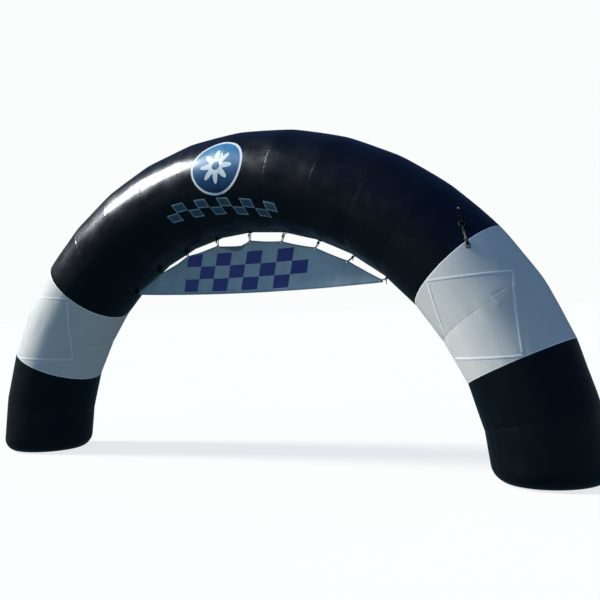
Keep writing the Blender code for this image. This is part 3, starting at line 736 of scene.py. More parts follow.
def tube_map(tree):
    """The tube's own map from Object coordinates: metres along the arch and round the tube, and metres from
    the nearest seam."""
    x, y, z = add(tree, "SeparateXYZ", (add(tree, "TexCoord").outputs["Object"],)).outputs
    rise = add(tree, "Math", (z, CENTRE_HEIGHT), operation="SUBTRACT")
    angle = add(tree, "Math", (rise, x), operation="ARCTAN2")
    reach = add(tree, "VectorMath", (add(tree, "CombineXYZ", (x, rise)),), operation="LENGTH")
    out = add(tree, "Math", (reach, ARCH_RADIUS), operation="SUBTRACT")
    front = add(tree, "Math", (y, -1.0), operation="MULTIPLY")
    turn = add(tree, "Math", (front, out), operation="ARCTAN2")
    along = add(tree, "Math", (angle, ARCH_RADIUS), operation="MULTIPLY")
    around = add(tree, "Math", (turn, TUBE_RADIUS), operation="MULTIPLY")
    first = add(tree, "Math", (angle, SPRING_ANGLE), operation="SUBTRACT")
    apart = add(tree, "Math", (first, GORE_ANGLE / 2), operation="PINGPONG")
    seam = add(tree, "Math", (apart, reach), operation="MULTIPLY")
    return along, around, seam


# Pieces

def cylinder_rows(obj, cuts):
    """Cut rows of points across a cylinder, at planes given as (point, normal)."""
    with editing(obj):
        for point, normal in cuts:
            bpy.ops.mesh.select_all(action="SELECT")
            bpy.ops.mesh.bisect(plane_co=point, plane_no=normal)


def cut_end(obj, point, normal):
    """Cut away what lies beyond a plane and close the end."""
    with editing(obj):
        bpy.ops.mesh.bisect(plane_co=point, plane_no=normal, clear_outer=True, use_fill=True)


def radial_planes(index, side_sign):
    """Planes at the set distances from a seam, on one side of it, all through the arch's centre."""
    angles = [seam_angle(index) + side_sign * row / ARCH_RADIUS for row in SEAM_ROWS]
    return [(centre_point(angle), tangent(angle)) for angle in angles]


def gore_form():
    """The even form of a gore between seams 1 and 2: a cylinder with mitred ends."""
    angle = seam_angle(1) + GORE_ANGLE / 2
    middle = (centre_point(seam_angle(1)) + centre_point(seam_angle(2))) / 2
    bpy.ops.mesh.primitive_cylinder_add(vertices=GORE_COLUMNS, radius=TUBE_RADIUS, depth=GORE_BLANK,
                                        end_fill_type="NGON", location=middle, rotation=(0, -angle, 0))
    form = settle(bpy.context.object, "gore_form")
    gap = CLEARANCE / 2
    low, high = seam_angle(1), seam_angle(2)
    cut_end(form, centre_point(low) + gap * tangent(low), -tangent(low))
    cut_end(form, centre_point(high) - gap * tangent(high), tangent(high))
    middles = [angle + share * MIDDLE_REACH / ARCH_RADIUS for share in MIDDLE_ROWS]
    planes = [(centre_point(turn), tangent(turn)) for turn in middles]
    cylinder_rows(form, radial_planes(1, 1) + radial_planes(2, -1) + planes)
    return form


def foot_inset(height):
    """How far the rounded foot is drawn in at a height above the ground."""
    rise = np.clip(1 - height / FOOT_ROUNDING, 0, 1)
    return FOOT_ROUNDING * (1 - np.sqrt(1 - rise ** 2))


def round_foot(obj):
    """Draw the leg's lower rows in to its flat patch."""
    points = points_of(obj)
    height = points[:, 2]
    centre = ARCH_RADIUS * math.cos(SPRING_ANGLE) + (LEG_EXTENSION - height) * math.tan(FOOT_LEAN)
    half_x = TUBE_RADIUS / math.cos(FOOT_LEAN)
    inset = foot_inset(height)
    points[:, 0] = centre + (points[:, 0] - centre) * (half_x - inset) / half_x
    points[:, 1] *= (TUBE_RADIUS - inset) / TUBE_RADIUS
    move_points(obj, points)


def leg_form(name, bottom, top_point, top_normal, cuts):
    """Part of the right leg: a leaning cylinder, level below, cut by a plane above."""
    middle = centre_point(SPRING_ANGLE)
    bpy.ops.mesh.primitive_cylinder_add(vertices=GORE_COLUMNS, radius=TUBE_RADIUS, depth=LEG_BLANK,
                                        end_fill_type="NGON", location=middle, rotation=(0, -FOOT_LEAN, 0))
    form = settle(bpy.context.object, name)
    cut_end(form, (0, 0, bottom), (0, 0, -1))
    cut_end(form, top_point, top_normal)
    cylinder_rows(form, cuts)
    round_foot(form)
    return form


def level_cuts(low, high, count):
    """Level planes that stand closer together towards the ground."""
    shares = [(i / count) ** ROWS_CROWDING for i in range(1, count)]
    return [((0, 0, low + share * (high - low)), (0, 0, 1)) for share in shares]


def mirrored(obj, name):
    twin = copied(obj, name, Matrix.Scale(-1, 4, Vector((1, 0, 0))))
    twin.data.flip_normals()
    return twin


def finish_skin(obj, material, slot, node):
    raise_skin(obj)
    smooth(obj, SKIN_EDGE)
    place_piece(obj, material, slot, node)


def make_gores(black, white, printed):
    """The gores, counted from 1 at the right foot, and the two base panels."""
    form = gore_form()
    top = seam_angle(1)
    head = (centre_point(top) - CLEARANCE / 2 * tangent(top), tangent(top))
    base_top = BASE_SEAM_HEIGHT
    foot_cuts = level_cuts(base_top + CLEARANCE, FOOT_ROWS_TOP, FOOT_ROWS) + radial_planes(1, -1)
    foot = leg_form("foot_form", base_top + CLEARANCE, *head, foot_cuts)
    base = leg_form("base_form", 0.0, (0, 0, base_top), (0, 0, 1), level_cuts(0.0, base_top, BASE_ROWS))
    low_right, high_right, high_left, low_left = BAND_SEAMS
    for index in range(1, GORE_COUNT + 1):
        name, node = f"gore_cloth_{index:02d}", f"gore_{index:02d}"
        if index == 1:
            gore = copied(foot, name)
        elif index == GORE_COUNT:
            gore = mirrored(foot, name)
        else:
            turn = (index - 2) * GORE_ANGLE
            middle = Matrix.Translation((0, 0, CENTRE_HEIGHT))
            gore = copied(form, name, middle @ Matrix.Rotation(-turn, 4, "Y") @ middle.inverted())
        if low_right < index <= high_right or high_left < index <= low_left:
            finish_skin(gore, white, "white_coated_cloth", node)
        else:
            cloth = printed if index in PRINTED_GORES else black
            finish_skin(gore, cloth, "black_coated_cloth", node)
    finish_skin(copied(base, "base_cloth_right"), black, "black_coated_cloth", "base_right")
    finish_skin(mirrored(base, "base_cloth_left"), black, "black_coated_cloth", "base_left")
    for spare in (form, foot, base):
        bpy.data.objects.remove(spare)


def flat_strip(name, length, width, thickness, step, across_cuts, edge=0.0006, edge_degrees=50):
    """A flat strip that lies along +X from 0, its underside at z = 0, with softened edges."""
    count = max(2, round(length / step))
    bpy.ops.mesh.primitive_grid_add(x_subdivisions=count, y_subdivisions=across_cuts, size=1,
                                    location=(length / 2, 0, 0))
    strip = bpy.context.object
    strip.scale = (length, width, 1)
    settle(strip, name)
    apply_modifier(strip, "SOLIDIFY", thickness=thickness, offset=1.0)
    apply_modifier(strip, "BEVEL", width=edge, segments=2, limit_method="ANGLE",
                   angle_limit=math.radians(edge_degrees))
    return strip


def make_tapes(material):
    """The strips; the thread along their edges draws them down, so each stands highest along its middle."""
    for side_name, side_sign in (("right", 1), ("left", -1)):
        for tape, first, second in TAPE_SIDES:
            ends = [(side_sign * TAPE_CORNERS[key][0], TAPE_CORNERS[key][1]) for key in (first, second)]
            line = TubeLine(*ends)
            butt = 0.0 if tape in ("top", "bottom") else TAPE_BUTT
            node = f"tape_{side_name}_{tape}"
            length = line.total - 2 * butt
            strip = flat_strip(f"loop_{node}", length, TAPE_WIDTH, TAPE_THICKNESS, TAPE_STEP, TAPE_CUTS)
            points = points_of(strip)
            points[:, 2] *= 1 - TAPE_DROOP * (2 * points[:, 1] / TAPE_WIDTH) ** 2
            move_points(strip, points)
            strip.data.transform(Matrix.Translation((butt, 0, TAPE_LIFT)))
            lay_on(strip, line)
            smooth(strip)
            place_piece(strip, material, "hook_loop_tape", node)


# The banner, its tabs and its ties

def underside_point(seam):
    """The lowest point of the tube's section at a seam, on the side that faces the banner."""
    angle = seam_angle(seam)
    return centre_point(angle) - MITRE_RADIUS * outward(angle)


def edge_point(row):
    """The place of the banner's top edge at a tie."""
    reach = ARCH_RADIUS - MITRE_RADIUS - row["gap"]
    return Vector((0.0, 0.0, CENTRE_HEIGHT)) + reach * outward(math.radians(row["edge_degrees"]))


def bottom_height(x):
    """The lower edge, which sags between the two ends."""
    middle = (BANNER_LEFT + BANNER_RIGHT) / 2
    return BANNER_BOTTOM_END - BANNER_BOTTOM_SAG * (1 - ((x - middle) / (BANNER_RIGHT - middle)) ** 2)


def hole_point(row):
    """The centre of the hole that a tie goes through."""
    corners = {TIE_ROWS[0][0]: (BANNER_RIGHT, -1), TIE_ROWS[-1][0]: (BANNER_LEFT, 1)}
    if row["seam"] in corners:
        end, inwards = corners[row["seam"]]
        return Vector((end + inwards * CORNER_HOLE_REACH, 0.0, bottom_height(end) + CORNER_HOLE_LIFT))
    return edge_point(row) - HOLE_INSET * outward(math.radians(row["edge_degrees"]))


def top_corners():
    """The (x, z) places that the top edge hangs from, from left to right."""
    ties = sorted((edge_point(row).x, edge_point(row).z) for row in rows(TIE_COLUMNS, TIE_ROWS))
    end_height = BANNER_BOTTOM_END + BANNER_END_HEIGHT
    return [(BANNER_LEFT, end_height)] + ties[1:-1] + [(BANNER_RIGHT, end_height)]


def slack_values(x, column):
    """A column of the slack stretch's table at x."""
    table = rows(SLACK_COLUMNS, SLACK_ROWS)
    places = slack_stretch([row["along"] for row in table])
    return np.interp(x, places, [row[column] for row in table])


def slack_stretch(shares):
    """Where these shares of the slack stretch's length lie in x."""
    ties = {row["seam"]: edge_point(row).x for row in rows(TIE_COLUMNS, TIE_ROWS)}
    start, end = ties[SLACK_SEAMS[0]], ties[SLACK_SEAMS[1]]
    return [start + share * (end - start) for share in shares]


def top_height(x):
    """The banner's top edge: chords from tie to tie that sag a little, one of them slack."""
    corners = np.array(top_corners())
    span = np.clip(np.searchsorted(corners[:, 0], x, side="right") - 1, 0, len(corners) - 2)
    share = (x - corners[span, 0]) / (corners[span + 1, 0] - corners[span, 0])
    height = np.interp(x, corners[:, 0], corners[:, 1]) - 4 * EDGE_SAG * share * (1 - share)
    return height - slack_values(x, "drop")


def banner_stand(x, z, up):
    """How far the cloth stands forward or back: broad folds towards the hem, pulls below each tie, and
    small ripples."""
    total = np.zeros(x.shape)
    for fold in rows(FOLD_COLUMNS, FOLD_ROWS):
        total += fold["depth"] * np.exp(-((x - fold["x"]) / fold["half_width"]) ** 2)
    total *= (1 - up) ** FOLD_FADING
    for row in rows(TIE_COLUMNS, TIE_ROWS):
        hole = hole_point(row)
        far = np.hypot(x - hole.x, z - hole.z)
        spread = np.arctan2(x - hole.x, hole.z - z)
        total += PULL_FOLD_DEPTH * np.cos(PULL_FOLD_COUNT * spread + row["seam"]) * (
            np.clip(far / PULL_FOLD_START, 0, 1) * np.exp(-far / PULL_FOLD_REACH))
    dice = random.Random(RIPPLE_SEED)
    for _ in range(RIPPLE_COUNT):
        lean, length = dice.uniform(-RIPPLE_LEAN, RIPPLE_LEAN), dice.uniform(*RIPPLE_LENGTHS)
        total += RIPPLE_DEPTH * np.sin((x + lean * z) * 2 * math.pi / length + dice.uniform(0, 2 * math.pi))
    return total


def banner_columns():
    """Where the columns of points stand, with one at each corner of the top edge."""
    places = [BANNER_LEFT]
    stops = sorted([x for x, _ in top_corners()][1:] + slack_stretch(FLAP_ENDS))
    for stop in stops:
        count = max(1, round((stop - places[-1]) / BANNER_STEP))
        places += list(np.linspace(places[-1], stop, count + 1))[1:]
    return np.array(places)


def banner_sheet(x, low, high):
    """The sheet's middle surface: points, where they lie flat, how far they are from an edge, and faces."""
    up = np.linspace(0, 1, BANNER_ROWS + 1)
    grid_x = np.repeat(x[:, None], len(up), axis=1)
    grid_z = low[:, None] + up[None, :] * (high - low)[:, None]
    grid_up = np.repeat(up[None, :], len(x), axis=0)
    grid_y = banner_stand(grid_x, grid_z, grid_up)
    verts = [Vector(p) for p in np.stack([grid_x, grid_y, grid_z], axis=2).reshape(-1, 3)]
    flat = list(zip(grid_x.ravel(), (grid_z - low[:, None]).ravel()))
    from_level = np.minimum(grid_z - low[:, None], high[:, None] - grid_z)
    from_end = np.minimum(grid_x - BANNER_LEFT, BANNER_RIGHT - grid_x)
    edge = list(np.minimum(from_level, from_end).ravel())
    faces = []
    for i in range(len(x) - 1):
        for j in range(BANNER_ROWS):
            a, b = i * len(up) + j, (i + 1) * len(up) + j
            faces.append((a, b, b + 1, a + 1))
    return verts, flat, edge, faces


def flap_column(top, depth):
    """A column of the turned-over flap, from the top edge down its front: points, and each one's fall."""
    column = []
    for k in range(1, FLAP_ROWS + 1):
        turn = math.pi * min(k / FLAP_TURN_ROWS, 1.0)
        share = max(0.0, (k - FLAP_TURN_ROWS) / (FLAP_ROWS - FLAP_TURN_ROWS))
        lift = FLAP_RISE_SHARE * FLAP_GAP * math.sin(turn)
        forward = 0.5 * FLAP_GAP * (1 - math.cos(turn)) + FLAP_LEAN * share
        column.append((top + Vector((0, -forward, lift - depth * share)), depth * share))
    return column


def make_banner(material):
    """The sheet with its slack edge turned over, then its thickness, its hem's distances and its holes."""
    x = banner_columns()
    low, high = bottom_height(x), top_height(x)
    verts, flat, edge, faces = banner_sheet(x, low, high)
    flap_start, flap_end = slack_stretch(FLAP_ENDS)
    before = None
    for i in np.nonzero((x >= flap_start - CLEARANCE) & (x <= flap_end + CLEARANCE))[0]:
        column = [(i + 1) * (BANNER_ROWS + 1) - 1]
        for point, drop in flap_column(verts[column[0]], float(slack_values(x[i], "flap"))):
            column.append(len(verts))
            verts.append(point)
            flat.append((x[i], high[i] - low[i] + FLAP_MAP_GAP + drop))
            edge.append(TURNED_OVER)
        if before:
            faces += [(before[k], column[k], column[k + 1], before[k + 1]) for k in range(FLAP_ROWS)]
        before = column
    mesh = bpy.data.meshes.new("banner_cloth")
    mesh.from_pydata(verts, [], faces)
    keep_flat(mesh, flat)
    hem = mesh.attributes.new("hem_distance", "FLOAT", "POINT")
    hem.data.foreach_set("value", np.array(edge, np.float32))
    banner = bpy.data.objects.new("banner_cloth", mesh)
    bpy.context.collection.objects.link(banner)
    apply_modifier(banner, "SOLIDIFY", thickness=BANNER_THICKNESS, offset=0.0)
    for row in rows(TIE_COLUMNS, TIE_ROWS):
        bpy.ops.mesh.primitive_cylinder_add(vertices=HOLE_SIDES, radius=HOLE_RADIUS, depth=PUNCH_LENGTH,
                                            location=hole_point(row), rotation=(math.pi / 2, 0, 0))
        punch = settle(bpy.context.object, "punch")
        apply_modifier(banner, "BOOLEAN", operation="DIFFERENCE", object=punch)
        bpy.data.objects.remove(punch)
    smooth(banner, SKIN_EDGE)
    place_piece(banner, material, "banner_cloth", "banner")


def path_lengths(path):
    steps = np.linalg.norm(np.diff(path, axis=0), axis=1)
    return np.concatenate([[0.0], np.cumsum(steps)])


def bend_strip(strip, path, place, probe=0.0008):
    """Bend a flat strip along a path of (along, height) points; place turns (along, across, height) rows
    into points of the scene."""
    path = np.array(path, float)
    lengths = path_lengths(path)
    points = points_of(strip)
    travel = points[:, 0]
    ahead, behind = np.minimum(travel + probe, lengths[-1]), np.maximum(travel - probe, 0)
    centre, front, back = (np.stack([np.interp(at, lengths, column) for column in path.T], axis=1)
                           for at in (travel, ahead, behind))
    way = front - back
    way /= np.linalg.norm(way, axis=1)[:, None]
    keep_flat(strip.data, points[:, :2])
    bent = centre + points[:, 2:3] * np.stack([-way[:, 1], way[:, 0]], axis=1)
    move_points(strip, place(np.stack([bent[:, 0], points[:, 1], bent[:, 1]], axis=1)))


def tab_path():
    """A tab from one sewn foot over its bridge to the other, as (along the arch, depth below the seam)."""
    lean = math.tan(GORE_ANGLE / 2)
    lift = 2 * CLEARANCE
    foot = TAB_BRIDGE + TAB_FOOT
    foot_end, turn = TAB_BRIDGE + TAB_FOOT_END, TAB_BRIDGE - TAB_TURN[0]
    side = [
        (-foot, lift + foot * lean),
        (-foot_end, lift + foot_end * lean),
        (-turn, lift + TAB_BRIDGE * lean + TAB_TURN[1]),
        (-TAB_BRIDGE + TAB_SHOULDER[0], TAB_DROP - TAB_SHOULDER[1]),
        (-TAB_BRIDGE + TAB_LEVEL, TAB_DROP),
    ]
    return side + [(-along, depth) for along, depth in reversed(side)]


def make_tabs(material):
    """A bridge of webbing over each seam, with its two ends sewn to the tube."""
    path = tab_path()
    length = path_lengths(np.array(path))[-1]
    for row in rows(TIE_COLUMNS, TIE_ROWS):
        angle = seam_angle(row["seam"])
        root = np.array(underside_point(row["seam"]))
        ways = np.array([tuple(tangent(angle)), (0.0, 1.0, 0.0), tuple(-outward(angle))])
        name = f"{row['seam']:02d}"
        strip = flat_strip("webbing_tab_" + name, length, TAB_WIDTH, TAB_THICKNESS, TAB_STEP, TAB_CUTS)
        bend_strip(strip, path, lambda flat, root=root, ways=ways: root + flat @ ways)
        smooth(strip)
        place_piece(strip, material, "black_webbing", "tab_" + name)


def curved(points, step, closed=False):
    """Points at an even step along a smooth curve through the given ones."""
    points = np.array([tuple(p) for p in points], float)
    ring = np.concatenate([points[-1:], points, points[:2]]) if closed else np.concatenate(
        [2 * points[:1] - points[1:2], points, 2 * points[-1:] - points[-2:-1]])
    fine = []
    for i in range(len(ring) - 3):
        a, b, c, d = ring[i:i + 4]
        for t in np.linspace(0, 1, CURVE_STEPS, endpoint=False):
            fine.append(0.5 * (2 * b + (c - a) * t + (2 * a - 5 * b + 4 * c - d) * t ** 2
                               + (3 * b - a - 3 * c + d) * t ** 3))
    fine.append(ring[1] if closed else ring[-2])
    fine = np.array(fine)
    lengths = path_lengths(fine)
    count = max(3, round(lengths[-1] / step))
    travel = np.linspace(0, lengths[-1], count + 1)
    even = np.stack([np.interp(travel, lengths, fine[:, i]) for i in range(3)], axis=1)
    return even[:-1] if closed else even


def swept(name, line, radius, sides, closed=False, braid=0.0, tip=1.0):
    """A round cord or wire along a line of points. braid raises the strands of a braided cover, and tip
    widens the sealed ends."""
    line = np.asarray(line, float)
    count = len(line)
    ahead = np.roll(line, -1, axis=0) if closed else np.vstack([line[1:], 2 * line[-1:] - line[-2:-1]])
    behind = np.roll(line, 1, axis=0) if closed else np.vstack([2 * line[:1] - line[1:2], line[:-1]])
    way = ahead - behind
    way /= np.linalg.norm(way, axis=1)[:, None]
    first = np.array(Vector(way[0]).orthogonal().normalized())
    spokes = []
    for i in range(count):
        first = first - way[i] * float(first @ way[i])
        first /= np.linalg.norm(first)
        spokes.append(first)
    spokes = np.array(spokes)
    others = np.cross(way, spokes)
    turns = 2 * math.pi * np.arange(sides) / sides
    travel = path_lengths(line)
    spin = BRAID_TURNS_PER_METRE * 2 * math.pi * travel
    cross = np.cos(BRAID_STRANDS * (turns[None, :] + spin[:, None])) * np.cos(
        BRAID_STRANDS * (turns[None, :] - spin[:, None]))
    thick = radius * (1 + braid * cross)
    if not closed:
        from_end = np.minimum(travel, travel[-1] - travel)
        thick *= (1 + (tip - 1) * np.exp(-(from_end / radius) ** 2))[:, None]
    rings = line[:, None, :] + thick[:, :, None] * (np.cos(turns)[None, :, None] * spokes[:, None, :]
                                                    + np.sin(turns)[None, :, None] * others[:, None, :])
    faces, uvs = [], []
    for i in range(count if closed else count - 1):
        for k in range(sides):
            a, b = i * sides + k, i * sides + (k + 1) % sides
            c, d = ((i + 1) % count) * sides + (k + 1) % sides, ((i + 1) % count) * sides + k
            faces.append((a, b, c, d))
            end = travel[i + 1] if i + 1 < count else travel[-1] + np.linalg.norm(line[0] - line[-1])
            around = [radius * 2 * math.pi * s / sides for s in (k, k + 1)]
            uvs += [(travel[i], around[0]), (travel[i], around[1]), (end, around[1]), (end, around[0])]
    if not closed:
        faces.append(tuple(reversed(range(sides))))
        faces.append(tuple(range((count - 1) * sides, count * sides)))
        uvs += [(0.0, 0.0)] * (2 * sides)
    mesh = bpy.data.meshes.new(name)
    mesh.from_pydata([tuple(p) for p in rings.reshape(-1, 3)], [], faces)
    mesh.uv_layers.new(name="flat").data.foreach_set("uv", np.array(uvs).ravel())
    obj = bpy.data.objects.new(name, mesh)
    bpy.context.collection.objects.link(obj)
    return obj


def joined(name, parts):
    choose(parts[0])
    for part in parts[1:]:
        part.select_set(True)
    bpy.ops.object.join()
    parts[0].name = name
    parts[0].data.name = name
    return parts[0]


def tie_path(seam, root, hole):
    """The closed loop of a tie, over its tab and through the banner's hole, as (y, depth) points."""
    down = (hole - root).normalized()
    top = (TAB_DROP - CLEARANCE - TIE_RADIUS) / down.dot(-outward(seam_angle(seam)))
    bottom = (hole - root).length - HOLE_RADIUS + CLEARANCE + TIE_RADIUS
    half_top = TAB_WIDTH / 2 + 2 * CLEARANCE + TIE_RADIUS
    inwards, upwards = TIE_END_SHARES
    path = [
        (-half_top + TIE_CORNER, top),
        (0.0, top),
        (half_top - TIE_CORNER, top),
        (half_top, top + TIE_CORNER),
        (half_top, top + TIE_STRAIGHT_SHARE * (bottom - top)),
        (TIE_END_RADIUS + TIE_NECK_WIDENING, bottom - TIE_NECK_HEIGHT),
        (TIE_END_RADIUS, bottom - TIE_END_RADIUS),
        (TIE_END_RADIUS * inwards, bottom - TIE_END_RADIUS * upwards),
        (0.0, bottom),
    ]
    path += [(-y, d) for y, d in reversed(path[3:-1])]
    return [root + d * down + Vector((0.0, y, 0.0)) for y, d in path], half_top


def knot_line(knot, across, down):
    """The turns of a knot round the tie's front leg."""
    forward = Vector((0.0, -1.0, 0.0))
    points = []
    for i in range(KNOT_STEPS + 1):
        share = i / KNOT_STEPS
        turn = 2 * math.pi * KNOT_TURNS * share
        spoke = math.cos(turn) * across + math.sin(turn) * forward
        points.append(knot + KNOT_WINDING * spoke + (share - 0.5) * KNOT_HEIGHT * down)
    return points


def tail_line(knot, length, aside):
    """A loose end that leaves the knot sideways and forwards and droops."""
    points = []
    for share in TAIL_STATIONS:
        outwards = TAIL_SPREAD * share * (1 - TAIL_TURN_DOWN * share) * aside
        fall = share * (TAIL_FIRST_DROP + (1 - TAIL_FIRST_DROP) * share)
        stand = Vector((0.0, -TAIL_STAND_OFF * share - TAIL_ROOT, 0.0))
        points.append(knot + length * (outwards + Vector((0.0, 0.0, -fall))) + stand)
    return points


def make_ties(material):
    """Each tie is a cord loop, a knot wound round its front leg, and two free ends."""
    for row in rows(TIE_COLUMNS, TIE_ROWS):
        root, hole = underside_point(row["seam"]), hole_point(row)
        down = (hole - root).normalized()
        across = down.cross(Vector((0.0, 1.0, 0.0)))
        loop, half_top = tie_path(row["seam"], root, hole)
        knot = root + KNOT_DEPTH * down + Vector((0.0, -half_top, 0.0))
        parts = [swept("loop", curved(loop, CORD_STEP, True), TIE_RADIUS, CORD_SIDES, True, BRAID_RELIEF)]
        free = [(knot_line(knot, across, down), 1.0)]
        free.append((tail_line(knot, row["tail"], across), SEALED_END))
        free.append((tail_line(knot, SHORT_TAIL * row["tail"], -across), SEALED_END))
        for points, tip in free:
            line = curved(points, CORD_STEP)
            parts.append(swept("end", line, TIGHT_CORD * TIE_RADIUS, CORD_SIDES, False, BRAID_RELIEF, tip))
        tie = joined(f"tie_cord_{row['seam']:02d}", parts)
        smooth(tie, TIE_EDGE)
        place_piece(tie, material, "black_cord", f"tie_{row['seam']:02d}")


# The tether on the right shoulder

def rounded_loop(width, length, corner, steps=4):
    """A closed path with round corners, as (along, across), from along = 0 to the length."""
    path = []
    centres = ((length - corner, width / 2 - corner, 0), (corner, width / 2 - corner, 1),
               (corner, -width / 2 + corner, 2), (length - corner, -width / 2 + corner, 3))
    for along, across, quarter in centres:
        for i in range(steps + 1):
            turn = 0.5 * math.pi * (quarter + i / steps)
            path.append((along + corner * math.cos(turn), across + corner * math.sin(turn)))
    return path


def wire_loop(name, line, start, width, length, corner, radius=WIRE_RADIUS):
    """A closed loop of wire laid on the cloth."""
    path = [(start + along, across, HARDWARE_LIFT) for along, across in rounded_loop(width, length, corner)]
    return swept(name, line.lay(curved(path, WIRE_STEP, True)), radius, WIRE_SIDES, True)


def bolt_snap(line, start):
    """The snap: an oval barrel with rounded shoulders and a neck at each end, its knob, eye and hook."""
    half = (BARREL_END - BARREL_START) / 2
    sideways = (0, math.pi / 2, 0)
    bpy.ops.mesh.primitive_cylinder_add(vertices=BARREL_SIDES, radius=1, depth=2, rotation=sideways)
    barrel = settle(bpy.context.object, "barrel")
    for sign in (-1, 1):
        with editing(barrel):
            bpy.ops.mesh.select_all(action="DESELECT")
            shape = bmesh.from_edit_mesh(barrel.data)
            for face in shape.faces:
                face.select_set(face.normal.x * sign > 0.9)
            bmesh.update_edit_mesh(barrel.data)
            out = (sign * BARREL_NECK / half, 0, 0)
            bpy.ops.mesh.extrude_region_move(TRANSFORM_OT_translate={"value": out})
            bpy.ops.transform.resize(value=(1, BARREL_NECK_SHARE, BARREL_NECK_SHARE))
    barrel.scale = (half, BARREL_HALF_WIDTH, BARREL_HALF_HEIGHT)
    barrel.location = (start + BARREL_START + half, 0, HARDWARE_LIFT)
    settle(barrel, "barrel")
    apply_modifier(barrel, "BEVEL", width=BARREL_SHOULDER, segments=3, limit_method="ANGLE")
    place = (start + KNOB_PLACE, BARREL_HALF_WIDTH + KNOB_REACH / 2, HARDWARE_LIFT)
    bpy.ops.mesh.primitive_cylinder_add(vertices=KNOB_SIDES, radius=KNOB_RADIUS, location=place,
                                        depth=KNOB_REACH + BARREL_SHOULDER, rotation=(math.pi / 2, 0, 0))
    knob = settle(bpy.context.object, "knob")
    apply_modifier(knob, "BEVEL", width=KNOB_RADIUS / 4, segments=3, limit_method="ANGLE")
    for part in (barrel, knob):
        lay_on(part, line)
    eye = wire_loop("eye", line, start, EYE_WIDTH, EYE_LENGTH, EYE_CORNER)
    hook = wire_loop("hook", line, start + HOOK_START, HOOK_WIDTH, HOOK_LENGTH, HOOK_CORNER, HOOK_RADIUS)
    return joined("steel_clip", [barrel, knob, eye, hook])


def eye_arc(place, sign, radius, first, last, steps=12):
    """Part of a round sleeve about a wire, between two angles in degrees, as (along, height) points. The
    angles count from +X, or from -X where the sign is -1."""
    turns = np.radians(np.linspace(first, last, steps))
    return [(place + sign * radius * math.cos(t), HARDWARE_LIFT + radius * math.sin(t)) for t in turns]


def anchor_path(place, around):
    """The anchor's webbing: down the cloth, round the ring's wire and back on itself."""
    path = [(0.0, ANCHOR_LIFT), (place - ANCHOR_RISE_START, ANCHOR_LIFT)]
    path += eye_arc(place, 1, around + ANCHOR_WEB, -ANCHOR_TURN, ANCHOR_TURN)
    return path + [(place - back, ANCHOR_LIFT + height) for back, height in ANCHOR_RETURN]


def strap_path(start, end, around):
    """The tether strap: round the ring's wire, straight down and round the clip's eye."""
    height = HARDWARE_LIFT + STRAP_RISE
    path = eye_arc(start, -1, around + STRAP_STAND_OFF, *STRAP_RING_TURN)
    path += [(start + STRAP_STRAIGHT, height), (end - STRAP_STRAIGHT, height)]
    return path + eye_arc(end, 1, around + STRAP_STAND_OFF, *STRAP_EYE_TURN)


def bent_webbing(name, line, path, width, thickness, cuts):
    """Webbing as long as its path, bent along it and laid on the tube."""
    strip = flat_strip(name, path_lengths(np.array(path))[-1], width, thickness, STRIP_STEP, cuts)
    bend_strip(strip, path, line.lay)
    return strip


def make_stud(line):
    """A snap stud: a ball pressed flat underneath and shaped above by its profile."""
    bpy.ops.mesh.primitive_uv_sphere_add(segments=STUD_SIDES, ring_count=STUD_SIDES // 2,
                                         radius=STUD_RADIUS)
    stud = settle(bpy.context.object, "snap_stud")
    points = points_of(stud)
    out, rise = np.array(STUD_PROFILE).T
    from_middle = np.hypot(points[:, 0], points[:, 1]) / STUD_RADIUS
    points[:, 2] = (points[:, 2] > 0) * STUD_HEIGHT * np.interp(from_middle, out, rise)
    points[:, 2] += ANCHOR_LIFT + ANCHOR_THICKNESS + CLEARANCE
    points[:, 0] += STUD_PLACE
    move_points(stud, points)
    lay_on(stud, line)
    return stud


def make_tether(webbing, beige, nickel, shaded_nickel, black_steel):
    """The anchor with its stud and ring, the strap that hangs from the ring, and the clip at its end."""
    line = TubeLine(TETHER_TOP, TETHER_END)
    strap_start = ANCHOR_LENGTH + RING_LENGTH
    strap_end = strap_start + STRAP_LENGTH
    around = WIRE_RADIUS + 2 * CLEARANCE
    path = anchor_path(ANCHOR_LENGTH, around)
    anchor = bent_webbing("webbing_anchor", line, path, ANCHOR_WIDTH, ANCHOR_WEB, ANCHOR_CUTS)
    ring = wire_loop("nickel_ring", line, ANCHOR_LENGTH, RING_WIDTH, RING_LENGTH, RING_CORNER)
    path = strap_path(strap_start, strap_end, around)
    tether = bent_webbing("webbing_tether", line, path, STRAP_WIDTH, STRAP_THICKNESS / 2, STRAP_CUTS)
    clip = bolt_snap(line, strap_end)
    for piece, material, slot, node in (
            (anchor, webbing, "black_webbing", "anchor_strap"),
            (ring, shaded_nickel, "bright_metal", "tether_ring"),
            (tether, beige, "beige_webbing", "tether_strap"),
            (clip, black_steel, "dark_metal", "tether_clip"),
            (make_stud(line), nickel, "bright_metal", "anchor_stud")):
        smooth(piece)
        place_piece(piece, material, slot, node)
    travel = [strap_start + i * STRAP_LENGTH / ROUTE_STEPS for i in range(ROUTE_STEPS + 1)]
    route = [tuple(point) for point in line.lay([(along, 0.0, HARDWARE_LIFT) for along in travel])]


# Materials

